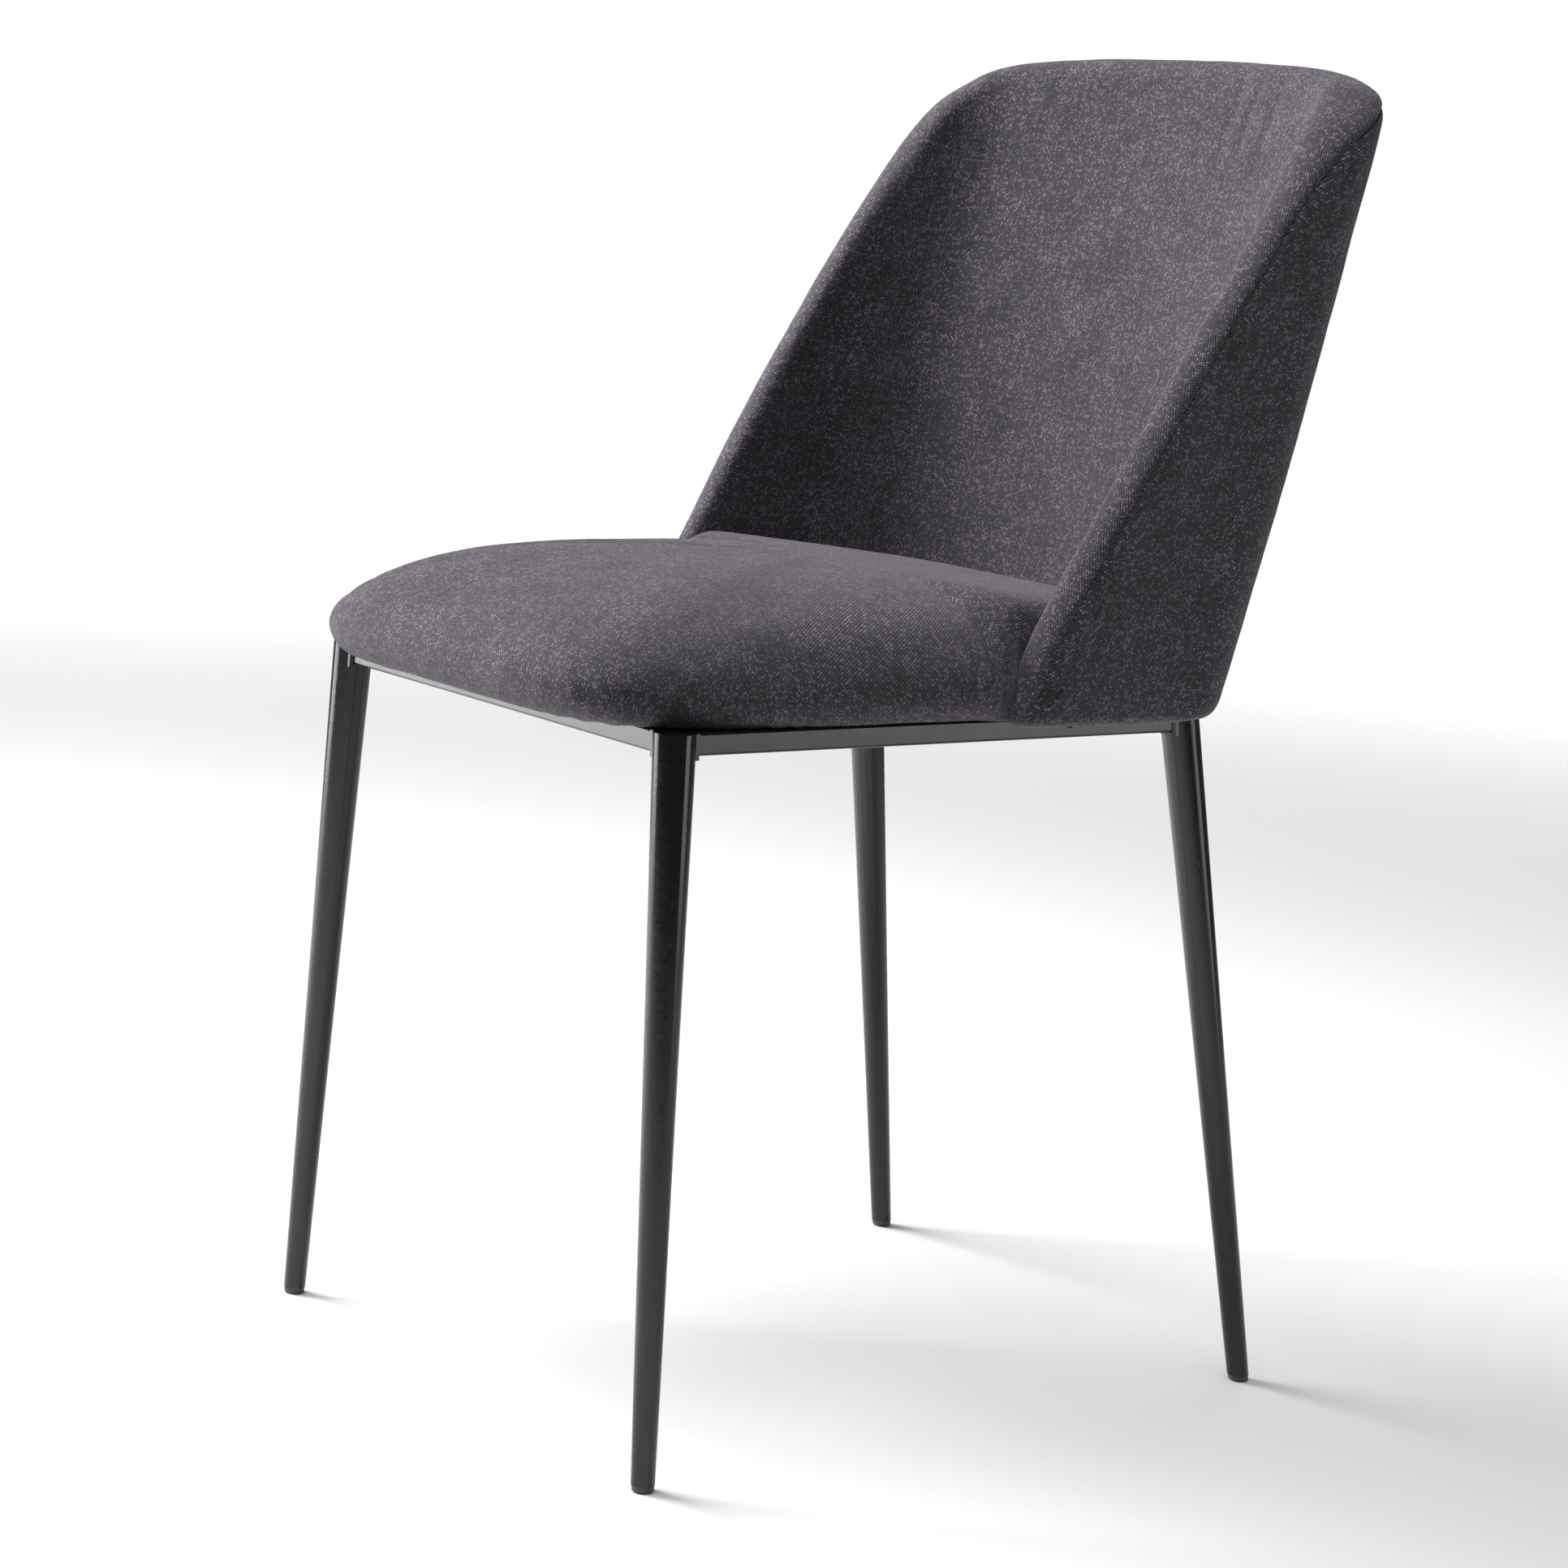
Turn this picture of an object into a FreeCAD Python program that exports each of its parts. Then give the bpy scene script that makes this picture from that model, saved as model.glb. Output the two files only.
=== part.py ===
import FreeCAD, Part
import math
import os

import Sketcher

# Upholstered dining chair. Millimetres, +Z up, the sitter faces -Y.
# The origin is on the floor, at the middle of the chair's overall length and width.

doc = FreeCAD.newDocument("DiningChair")

# ---------------------------------------------------------------- driving dimensions

DIMENSIONS = [
    # steel frame
    ("frame_top", 433.0, "height of the rails' top face"),
    ("rail_side", 13.0, "outside of the square rail tube"),
    ("rail_wall", 1.5, "wall of the rail tube"),
    ("rail_corner", 1.6, "outside corner radius of the rail tube"),
    ("leg_top_radius", 12.4, "leg radius at the rails' top face"),
    ("leg_foot_radius", 7.0, "leg radius at the floor"),
    ("leg_wall", 1.5, "wall of the leg tube"),
    ("cap_thickness", 2.0, "disc welded on each leg's top"),
    ("front_top_x", 181.8, "front leg axis at the rails' top, from the middle"),
    ("front_top_y", 239.3, "front leg axis at the rails' top, ahead of the origin"),
    ("front_foot_x", 206.8, "front leg axis on the floor"),
    ("front_foot_y", 244.1, "front leg axis on the floor, ahead of the origin"),
    ("rear_top_x", 163.1, "rear leg axis at the rails' top"),
    ("rear_top_y", 149.6, "rear leg axis at the rails' top, behind the origin"),
    ("rear_foot_x", 191.1, "rear leg axis on the floor"),
    ("rear_foot_y", 225.3, "rear leg axis on the floor, behind the origin"),
    ("weld_size", 2.0, "leg of the fillet weld round a rail's end"),
    ("glide_height", 4.0, "part of a foot glide below its leg"),
    ("glide_step", 0.5, "how far a glide stands inside its leg's outside"),
    ("glide_stem", 15.0, "length of the stem pressed into the leg"),
    ("glide_edge", 1.2, "bevel of a glide's lower edge"),
    ("stem_clearance", 0.1, "glide stem to the bore of the leg"),
    ("plate_thickness", 2.5, "corner plate"),
    ("plate_reach", 66.0, "corner plate, along the front or rear rail"),
    ("front_plate_length", 66.0, "front corner plate, along the side rail"),
    ("rear_plate_length", 110.0, "rear corner plate, along the side rail"),
    ("bolt_inset", 18.0, "seat bolt, from the inside of the side rail"),
    ("front_bolt_inset", 18.0, "seat bolt, from the inside of the front rail"),
    ("rear_bolt_inset", 44.0, "seat bolt, from the inside of the rear rail"),
    # seat
    ("cloth", 1.2, "thickness of the fabric"),
    ("seat_front", 290.4, "front of the seat, ahead of the origin"),
    ("seat_front_bow", 900.0, "radius of the seat's front in plan"),
    ("seat_corner", 80.0, "radius of the seat's front corners in plan"),
    ("seat_rise", 74.0, "highest level of the seat above the rails' top"),
    ("seat_crown", 50.0, "rounding of the seat's upper edge"),
    ("seat_tuck", 14.0, "rounding of the seat's lower edge"),
    ("board_thickness", 12.0, "plywood seat board"),
    ("board_inset", 16.0, "board's edge inside the seat's side"),
    ("hem_width", 24.0, "fabric turned under the board"),
    ("dust_cloth", 0.8, "thickness of the dust cover"),
    ("dust_clearance", 0.3, "dust cover to the hem round it"),
    ("seat_clearance", 0.4, "seat to the back's inner face"),
    # bolts of the seat
    ("bolt_diameter", 6.0, "M6"),
    ("bolt_head_diameter", 11.0, "button head"),
    ("bolt_head_height", 3.3, "button head"),
    ("washer_diameter", 14.0, "outside of the washer"),
    ("washer_thickness", 1.2, "washer"),
    ("bolt_clearance", 0.6, "hole over bolt"),
    ("nut_barrel_diameter", 8.0, "barrel of the T-nut"),
    ("nut_barrel_length", 9.0, "barrel of the T-nut"),
    ("nut_flange_diameter", 19.0, "flange of the T-nut"),
    ("nut_flange_thickness", 1.4, "flange of the T-nut, let into the board"),
    # back
    ("back_half_width", 212.0, "outside of a wing, from the middle"),
    ("back_rear", 195.1, "rear face at the rails' top level, behind the origin"),
    ("back_radius", 525.0, "radius of the rear face in plan"),
    ("back_corner", 42.0, "radius of the rear corners in plan"),
    ("back_rise", 400.7, "top of the back above the rails' top"),
    ("back_rake", 13.4, "lean of the back from the vertical, degrees"),
    ("inner_half_width", 185.0, "inside of a wing, from the middle"),
    ("inner_face", 151.0, "inner face at the rails' top level, behind the origin"),
    ("inner_radius", 483.0, "radius of the inner face in plan"),
    ("inner_corner", 65.0, "radius of the inner corners in plan"),
    ("crown_radius", 1900.0, "radius of the top edge, seen from the front"),
    ("top_corner", 45.0, "radius of the top corners, seen from the front"),
    ("wing_foot", 12.6, "wing's front edge at its foot, ahead of the origin"),
    ("wing_bend", 6.3, "wing's front edge at the bend, behind the origin"),
    ("wing_bend_height", 50.0, "bend above the rails' top"),
    ("wing_angle", 31.4, "wing's front edge above the bend, from the vertical, degrees"),
    ("wing_top_radius", 168.0, "rounding of the wing into the top, seen from the side"),
    ("seam_inset", 20.0, "seam behind the wing's front edge"),
    ("seam_drop", 8.0, "seam below the back's top, on the rear face"),
    ("outer_foam", 4.0, "foam between the core and the outer fabric"),
    ("core_thickness", 9.0, "bent plywood core"),
    ("core_edge", 13.0, "core's edge inside the back's edge"),
    # brackets of the back
    ("bracket_thickness", 3.0, "steel of the back's brackets"),
    ("bracket_height", 45.0, "upright flange"),
    ("side_bracket_length", 50.0, "side bracket along the rail"),
    ("side_bracket_place", 60.0, "middle of the side bracket, behind the origin"),
    ("rear_bracket_length", 40.0, "rear bracket along the rear rail"),
    ("bracket_gap", 0.5, "rear bracket to the curved core"),
    ("screw_diameter", 4.0, "screw into the core"),
    ("screw_length", 10.0, "screw below its head"),
    ("screw_head_diameter", 8.0, "pan head"),
    ("screw_head_height", 2.4, "pan head"),
    ("screw_spacing", 28.0, "between the two screws of a side bracket"),
    ("rear_screw_spacing", 22.4, "between the two screws of the rear bracket"),
    ("screw_height", 32.0, "screws above the rails' top"),
    # shapes that only cut or trim
    ("trim_reach", 600.0, "trimming shapes, past the middle of the chair"),
    ("trim_overrun", 1.0, "cutting shapes, past the faces they cut"),
]

sheet = doc.addObject("Spreadsheet::Sheet", "Sizes")
for row, (alias, number, note) in enumerate(DIMENSIONS, start=1):
    sheet.set(f"A{row}", note)
    sheet.set(f"B{row}", str(number))
    sheet.setAlias(f"B{row}", alias)
doc.recompute()


class Size:
    """A length or angle that knows its expression on the sheet and its present value."""

    def __init__(self, text, value):
        self.text = text
        self.value = value

    def combine(self, other, sign, result):
        text = other.text if isinstance(other, Size) else repr(float(other))
        return Size(f"({self.text} {sign} {text})", result)

    def __add__(self, other):
        return self.combine(other, "+", self.value + number_of(other))

    def __sub__(self, other):
        return self.combine(other, "-", self.value - number_of(other))

    def __mul__(self, other):
        return self.combine(other, "*", self.value * number_of(other))

    def __truediv__(self, other):
        return self.combine(other, "/", self.value / number_of(other))

    def __neg__(self):
        return Size(f"(0 - {self.text})", -self.value)


def number_of(item):
    return item.value if isinstance(item, Size) else float(item)


def size(alias):
    """The sheet's cell with this alias."""
    return Size(f"Sizes.{alias}", float(sheet.get(alias)))


def tangent(angle):
    """Tangent of an angle of the sheet, which is in degrees."""
    return Size(f"tan({angle.text} * 1 deg)", math.tan(math.radians(angle.value)))


ZERO = Size("0", 0.0)
frame_top = size("frame_top")
cloth = size("cloth")
rake_slope = tangent(size("back_rake"))
trim_reach = size("trim_reach")
overrun = size("trim_overrun")


# ---------------------------------------------------------------- helpers for bodies and sketches

def bind(item, path, amount):
    """Tie a property to the sheet."""
    item.setExpression(path, amount.text)


def new_body(name):
    body = doc.addObject("PartDesign::Body", name + "_body")
    body.Label = name + "_body"
    return body


def new_sketch(body, plane, level=None):
    """An empty sketch on one of the body's own origin planes, raised by level."""
    sketch = body.newObject("Sketcher::SketchObject", body.Name + "_sketch")
    support = [item for item in body.Origin.OriginFeatures if item.Role == plane][0]
    sketch.AttachmentSupport = (support, [""])
    sketch.MapMode = "FlatFace"
    if level is not None:
        bind(sketch, "AttachmentOffset.Base.z", level)
    return sketch


def hold(sketch, amount, kind, *where):
    """Add a driving dimension that follows the sheet."""
    value = max(abs(amount.value), 1e-6) if kind == "Radius" else amount.value
    index = sketch.addConstraint(Sketcher.Constraint(kind, *where, value))
    bind(sketch, f"Constraints[{index}]", amount)


def point_at(sketch, geometry, end, x, y):
    """Fix one point of a sketch by its two coordinates."""
    hold(sketch, x, "DistanceX", -1, 1, geometry, end)
    hold(sketch, y, "DistanceY", -1, 1, geometry, end)


def draw_polygon(sketch, corners):
    """A closed outline of straight lines through the corners, each a pair of sizes."""
    places = [FreeCAD.Vector(x.value, y.value, 0) for x, y in corners]
    count = len(places)
    first = sketch.GeometryCount
    for index in range(count):
        sketch.addGeometry(Part.LineSegment(places[index], places[(index + 1) % count]))
    for index in range(count):
        following = first + (index + 1) % count
        sketch.addConstraint(Sketcher.Constraint("Coincident", first + index, 2, following, 1))
    for index, (x, y) in enumerate(corners):
        point_at(sketch, first + index, 1, x, y)


def draw_rectangle(sketch, left, bottom, right, top):
    draw_polygon(sketch, [(left, bottom), (right, bottom), (right, top), (left, top)])


def draw_circle(sketch, x, y, radius):
    centre = FreeCAD.Vector(x.value, y.value, 0)
    circle = sketch.addGeometry(Part.Circle(centre, FreeCAD.Vector(0, 0, 1), radius.value))
    hold(sketch, radius, "Radius", circle)
    point_at(sketch, circle, 3, x, y)


def arc(x, y, radius, start, end):
    """An arc of a circle about (x, y), between two angles in degrees."""
    circle = Part.Circle(FreeCAD.Vector(x, y, 0), FreeCAD.Vector(0, 0, 1), radius)
    return Part.ArcOfCircle(circle, math.radians(start), math.radians(end))


def draw_arch(sketch, half, crest, radius, corner, foot):
    """A closed arch: straight sides, a wide arc across the crest and two corner arcs.

    The arch is even about the sketch's upright axis, and its foot is a straight line.
    """
    reach = half.value - corner.value
    rise = math.sqrt((radius.value - corner.value) ** 2 - reach ** 2)
    middle = crest.value - radius.value
    level = middle + rise
    lean = math.degrees(math.asin(reach / (radius.value - corner.value)))
    width = half.value
    crest_arc = sketch.addGeometry(arc(0, middle, radius.value, 90 - lean, 90 + lean))
    left_arc = sketch.addGeometry(arc(-reach, level, corner.value, 90 + lean, 180))
    left = sketch.addGeometry(Part.LineSegment(
        FreeCAD.Vector(-width, level, 0), FreeCAD.Vector(-width, foot.value, 0)))
    base = sketch.addGeometry(Part.LineSegment(
        FreeCAD.Vector(-width, foot.value, 0), FreeCAD.Vector(width, foot.value, 0)))
    right = sketch.addGeometry(Part.LineSegment(
        FreeCAD.Vector(width, foot.value, 0), FreeCAD.Vector(width, level, 0)))
    right_arc = sketch.addGeometry(arc(reach, level, corner.value, 0, 90 - lean))
    sketch.addConstraint([
        Sketcher.Constraint("Tangent", crest_arc, 2, left_arc, 1),
        Sketcher.Constraint("Tangent", left_arc, 2, left, 1),
        Sketcher.Constraint("Coincident", left, 2, base, 1),
        Sketcher.Constraint("Coincident", base, 2, right, 1),
        Sketcher.Constraint("Tangent", right, 2, right_arc, 1),
        Sketcher.Constraint("Tangent", right_arc, 2, crest_arc, 1),
        Sketcher.Constraint("PointOnObject", crest_arc, 3, -2),
        Sketcher.Constraint("Vertical", left),
        Sketcher.Constraint("Equal", left_arc, right_arc),
    ])
    hold(sketch, radius, "Radius", crest_arc)
    hold(sketch, corner, "Radius", left_arc)
    hold(sketch, crest - radius, "DistanceY", -1, 1, crest_arc, 3)
    point_at(sketch, base, 1, -half, foot)
    point_at(sketch, base, 2, half, foot)


def pad(body, sketch, length, both_ways=False):
    feature = body.newObject("PartDesign::Pad", body.Name + "_pad")
    feature.Profile = sketch
    bind(feature, "Length", length)
    if both_ways:
        feature.SideType = "Symmetric"
    doc.recompute()
    return feature


def raked_pad(body, sketch, length):
    """Pad upwards along the lean of the back."""
    feature = body.newObject("PartDesign::Pad", body.Name + "_pad")
    feature.Profile = sketch
    feature.UseCustomVector = True
    feature.AlongSketchNormal = True
    feature.Direction = FreeCAD.Vector(0, rake_slope.value, 1)
    bind(feature, "Direction.y", rake_slope)
    bind(feature, "Length", length)
    doc.recompute()
    return feature


def soften(body, radius, edges, name="_fillet"):
    """Round the edges of the body's tip that the test picks."""
    base = body.Tip
    names = [f"Edge{i}" for i, edge in enumerate(base.Shape.Edges, start=1) if edges(edge)]
    feature = body.newObject("PartDesign::Fillet", body.Name + name)
    feature.Base = (base, names)
    bind(feature, "Radius", radius)
    doc.recompute()
    return feature


def cut(name, base, *tools):
    """The base without the tools, taken away one after another."""
    result = base
    for tool in tools:
        step = doc.addObject("Part::Cut", name + "_cut")
        step.Base = result
        step.Tool = tool
        result = step
    return result


def common(name, *items):
    result = doc.addObject("Part::MultiCommon", name + "_common")
    result.Shapes = list(items)
    return result


def group(name, *items):
    """Equal small pieces kept as separate solids of one node."""
    result = doc.addObject("Part::Compound", name + "_group")
    result.Links = list(items)
    return result


def mirrored(name, source):
    """The same piece on the other side of the chair."""
    result = doc.addObject("Part::Mirroring", name + "_mirror")
    result.Source = source
    result.Normal = FreeCAD.Vector(1, 0, 0)
    return result


nodes = []


def node(name, item):
    """Keep an object as a sub-part of the chair."""
    item.Label = name
    nodes.append(item)
    return item


# ---------------------------------------------------------------- legs

LEGS = {
    "front": (size("front_top_x"), -size("front_top_y"), size("front_foot_x"), -size("front_foot_y")),
    "rear": (size("rear_top_x"), size("rear_top_y"), size("rear_foot_x"), size("rear_foot_y")),
}


def leg_section(which, level):
    """Middle and radius of a leg's outside at a level above the floor."""
    top_x, top_y, foot_x, foot_y = LEGS[which]
    share = level / frame_top
    radius = size("leg_foot_radius") + (size("leg_top_radius") - size("leg_foot_radius")) * share
    return foot_x + (top_x - foot_x) * share, foot_y + (top_y - foot_y) * share, radius


def leg_loft(body, which, bottom, top, grow, top_grow=None, kind="Additive"):
    """A stretch of leg between two levels, its radius changed by grow, or by top_grow at its top."""
    rings = []
    for level, change in ((bottom, grow), (top, top_grow or grow)):
        ring = new_sketch(body, "XY_Plane", level)
        x, y, radius = leg_section(which, level)
        draw_circle(ring, x, y, radius + change)
        rings.append(ring)
    loft = body.newObject(f"PartDesign::{kind}Loft", body.Name + "_loft")
    loft.Profile = rings[0]
    loft.Sections = rings[1:]
    loft.Ruled = True
    doc.recompute()
    return body


def leg_solid(name, which, grow, bottom=ZERO, top=frame_top):
    return leg_loft(new_body(name), which, bottom, top, grow)


tube_bottom = size("glide_height")
tube_top = frame_top - size("cap_thickness")
bore = -size("leg_wall")

for end in ("front", "rear"):
    leg = leg_solid(f"{end}_leg", end, ZERO, tube_bottom, tube_top)
    leg_loft(leg, end, tube_bottom, tube_top, bore, kind="Subtractive")
    node(f"{end}_left_leg", leg)
    node(f"{end}_right_leg", mirrored(f"{end}_right_leg", leg))

    cap = leg_solid(f"{end}_leg_cap", end, ZERO, tube_top, frame_top)
    node(f"{end}_left_leg_cap", cap)
    node(f"{end}_right_leg_cap", mirrored(f"{end}_right_leg_cap", cap))

    glide = new_body(f"{end}_glide")
    edge_top = size("glide_edge")
    stem_top = tube_bottom + size("glide_stem")
    leg_loft(glide, end, ZERO, edge_top, -size("glide_step") - edge_top, -size("glide_step"))
    leg_loft(glide, end, edge_top, tube_bottom, -size("glide_step"))
    leg_loft(glide, end, tube_bottom, stem_top, bore - size("stem_clearance"))
    node(f"{end}_left_glide", glide)
    node(f"{end}_right_glide", mirrored(f"{end}_right_glide", glide))

# Full legs from the floor to the rails' top cut whatever is welded to them.
front_block = leg_solid("front_block", "front", ZERO)
rear_block = leg_solid("rear_block", "rear", ZERO)
left_legs = [front_block, rear_block]
leg_blocks = left_legs + [mirrored(block.Name + "_right", block) for block in left_legs]


# ---------------------------------------------------------------- rails

rail_side = size("rail_side")
rail_middle = frame_top - rail_side / 2
front_x, front_y, _ = leg_section("front", rail_middle)
rear_x, rear_y, _ = leg_section("rear", rail_middle)
side_length = rear_y - front_y
side_turn = Size(
    f"(atan({(front_x - rear_x).text} / {side_length.text}) / 1 deg)",
    math.degrees(math.atan((front_x.value - rear_x.value) / side_length.value)),
)


def rail_body(name, length, x, y, turn, grow=ZERO, hollow=False):
    """A square bar through the leg axes, lying along X before it is turned about Z."""
    body = new_body(name)
    half = rail_side / 2 + grow
    outline = new_sketch(body, "YZ_Plane")
    draw_rectangle(outline, -half, -half, half, rail_side / 2)
    pad(body, outline, length, both_ways=True)
    if hollow:
        soften(body, size("rail_corner"), lambda edge: edge.BoundBox.XLength > 1)
        inside = rail_side / 2 - size("rail_wall")
        hole = new_sketch(body, "YZ_Plane")
        draw_rectangle(hole, -inside, -inside, inside, inside)
        pocket = body.newObject("PartDesign::Pocket", body.Name + "_pocket")
        pocket.Profile = hole
        pocket.Type = "ThroughAll"
        pocket.SideType = "Symmetric"
    bind(body, "Placement.Base.x", x)
    bind(body, "Placement.Base.y", y)
    bind(body, "Placement.Base.z", rail_middle)
    bind(body, "Placement.Rotation.Angle", turn)
    doc.recompute()
    return body


RAILS = {
    "front_rail": (front_x * 2, ZERO, front_y, ZERO),
    "rear_rail": (rear_x * 2, ZERO, rear_y, ZERO),
    "left_side_rail": (side_length, (front_x + rear_x) / 2, (front_y + rear_y) / 2, side_turn + 90),
}

rail_blocks = []
weld_blocks = []
for name, place in RAILS.items():
    rail = node(name, cut(name, rail_body(name, *place, hollow=True), *leg_blocks))
    rail_blocks.append(rail_body(name + "_block", *place))
    weld_blocks.append(rail_body(name + "_weld", *place, grow=size("weld_size")))
    if name == "left_side_rail":
        node("right_side_rail", mirrored("right_side_rail", rail))
        rail_blocks.append(mirrored("right_rail_block", rail_blocks[-1]))
        weld_blocks.append(mirrored("right_rail_weld", weld_blocks[-1]))

# A weld bead is what lies near both a leg and a rail, outside the two.
front_rail_weld, rear_rail_weld, side_rail_weld, _ = weld_blocks
beads = []
WELDED_ENDS = (
    ("front", front_rail_weld, front_block),
    ("rear", rear_rail_weld, rear_block),
)
for end, end_rail, end_block in WELDED_ENDS:
    swollen_leg = leg_solid(f"{end}_weld", end, size("weld_size"))
    for rail in (end_rail, side_rail_weld):
        zone = common(f"{end}_weld_zone", swollen_leg, rail)
        bead = cut(f"{end}_bead", zone, end_block, *rail_blocks, *beads[::2])
        beads.append(bead)
        beads.append(mirrored(f"{end}_bead_right", bead))
node("weld_beads", group("weld_beads", *beads))


# ---------------------------------------------------------------- corner plates and seat bolts

BOLTS = {
    "front": (front_x - rail_side / 2 - size("bolt_inset"),
              front_y + rail_side / 2 + size("front_bolt_inset")),
    "rear": (rear_x - rail_side / 2 - size("bolt_inset"),
             rear_y - rail_side / 2 - size("rear_bolt_inset")),
}
plate_bottom = frame_top - size("plate_thickness")
hole_radius = (size("bolt_diameter") + size("bolt_clearance")) / 2

for end, (bolt_x, bolt_y) in BOLTS.items():
    x, y, _ = leg_section(end, rail_middle)
    reach = size("front_plate_length") if end == "front" else -size("rear_plate_length")
    plate = new_body(f"{end}_plate")
    outline = new_sketch(plate, "XY_Plane", plate_bottom)
    draw_polygon(outline, [(x, y), (x, y + reach), (x - size("plate_reach"), y)])
    draw_circle(outline, bolt_x, bolt_y, hole_radius)
    pad(plate, outline, size("plate_thickness"))
    corner = cut(f"{end}_corner", plate, *left_legs, *rail_blocks, *beads[::2])
    node(f"{end}_left_corner_plate", corner)
    node(f"{end}_right_corner_plate", mirrored(f"{end}_right_corner", corner))

dust_top = frame_top + size("dust_cloth")
board_bottom = frame_top + cloth
board_top = board_bottom + size("board_thickness")


def discs(name, x, y, stack):
    """Round steps on one upright axis: each has a radius, a bottom level and a top level."""
    body = new_body(name)
    for radius, bottom, top in stack:
        ring = new_sketch(body, "XY_Plane", bottom)
        draw_circle(ring, x, y, radius)
        pad(body, ring, top - bottom)
    return body


def bored(body, x, y, radius, bottom):
    """A hole up through the body from a level."""
    ring = new_sketch(body, "XY_Plane", bottom)
    draw_circle(ring, x, y, radius)
    hole = body.newObject("PartDesign::Pocket", body.Name + "_hole")
    hole.Profile = ring
    hole.Type = "ThroughAll"
    hole.Reversed = True
    doc.recompute()
    return body


bolts = []
washers = []
nuts = []
board_holes = []
dust_holes = []
washer_bottom = plate_bottom - size("washer_thickness")
nut_bottom = board_top - size("nut_barrel_length")
flange_bottom = board_top - size("nut_flange_thickness")
for end, (x, y) in BOLTS.items():
    shank = size("bolt_diameter") / 2
    head_bottom = washer_bottom - size("bolt_head_height")
    made = {
        "bolt": discs(f"{end}_bolt", x, y, [
            (size("bolt_head_diameter") / 2, head_bottom, washer_bottom),
            (shank, washer_bottom, board_top)]),
        "washer": bored(discs(f"{end}_washer", x, y, [
            (size("washer_diameter") / 2, washer_bottom, plate_bottom)]), x, y, hole_radius, washer_bottom),
        "nut": bored(discs(f"{end}_nut", x, y, [
            (size("nut_barrel_diameter") / 2, nut_bottom, flange_bottom),
            (size("nut_flange_diameter") / 2, flange_bottom, board_top)]), x, y, shank, nut_bottom),
        "board": discs(f"{end}_board_hole", x, y, [
            (size("nut_barrel_diameter") / 2, board_bottom - overrun, flange_bottom),
            (size("nut_flange_diameter") / 2, flange_bottom, board_top + overrun)]),
        "dust": discs(f"{end}_dust_hole", x, y, [(hole_radius, frame_top - overrun, dust_top + overrun)]),
    }
    rows = {"bolt": bolts, "washer": washers, "nut": nuts, "board": board_holes, "dust": dust_holes}
    for kind, body in made.items():
        rows[kind].append(body)
        rows[kind].append(mirrored(f"{end}_{kind}_right", body))
node("seat_bolts", group("seat_bolts", *bolts))
node("seat_washers", group("seat_washers", *washers))
node("seat_t_nuts", group("seat_t_nuts", *nuts))


# ---------------------------------------------------------------- back

# The back is a wall bent round the sitter and leaning backwards. Every layer is the space between
# two arches in plan, pushed up along the lean, and trimmed to the same outline from the front and
# the side, moved inwards by the layers that cover it.

back_top = frame_top + size("back_rise")


def outer_arch(name, inset):
    """Everything ahead of the outer face, moved inwards by inset."""
    body = new_body(name)
    plan = new_sketch(body, "XY_Plane", frame_top)
    draw_arch(plan, size("back_half_width") - inset, size("back_rear") - inset,
              size("back_radius") - inset, size("back_corner") - inset, -trim_reach)
    raked_pad(body, plan, size("back_rise"))
    return body


def inner_arch(name, inset):
    """Everything ahead of the inner face, moved towards the core by inset."""
    body = new_body(name)
    plan = new_sketch(body, "XY_Plane", frame_top)
    draw_arch(plan, size("inner_half_width") + inset, size("inner_face") + inset,
              size("inner_radius") + inset, size("inner_corner") + inset, -trim_reach - overrun)
    raked_pad(body, plan, size("back_rise"))
    return body


def front_outline(name, inset):
    """The back seen from the front: a gentle crown with round corners."""
    body = new_body(name)
    outline = new_sketch(body, "XZ_Plane")
    draw_arch(outline, size("back_half_width") - inset, back_top - inset,
              size("crown_radius") - inset, size("top_corner"), frame_top + inset)
    pad(body, outline, trim_reach * 2, both_ways=True)
    return body


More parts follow.
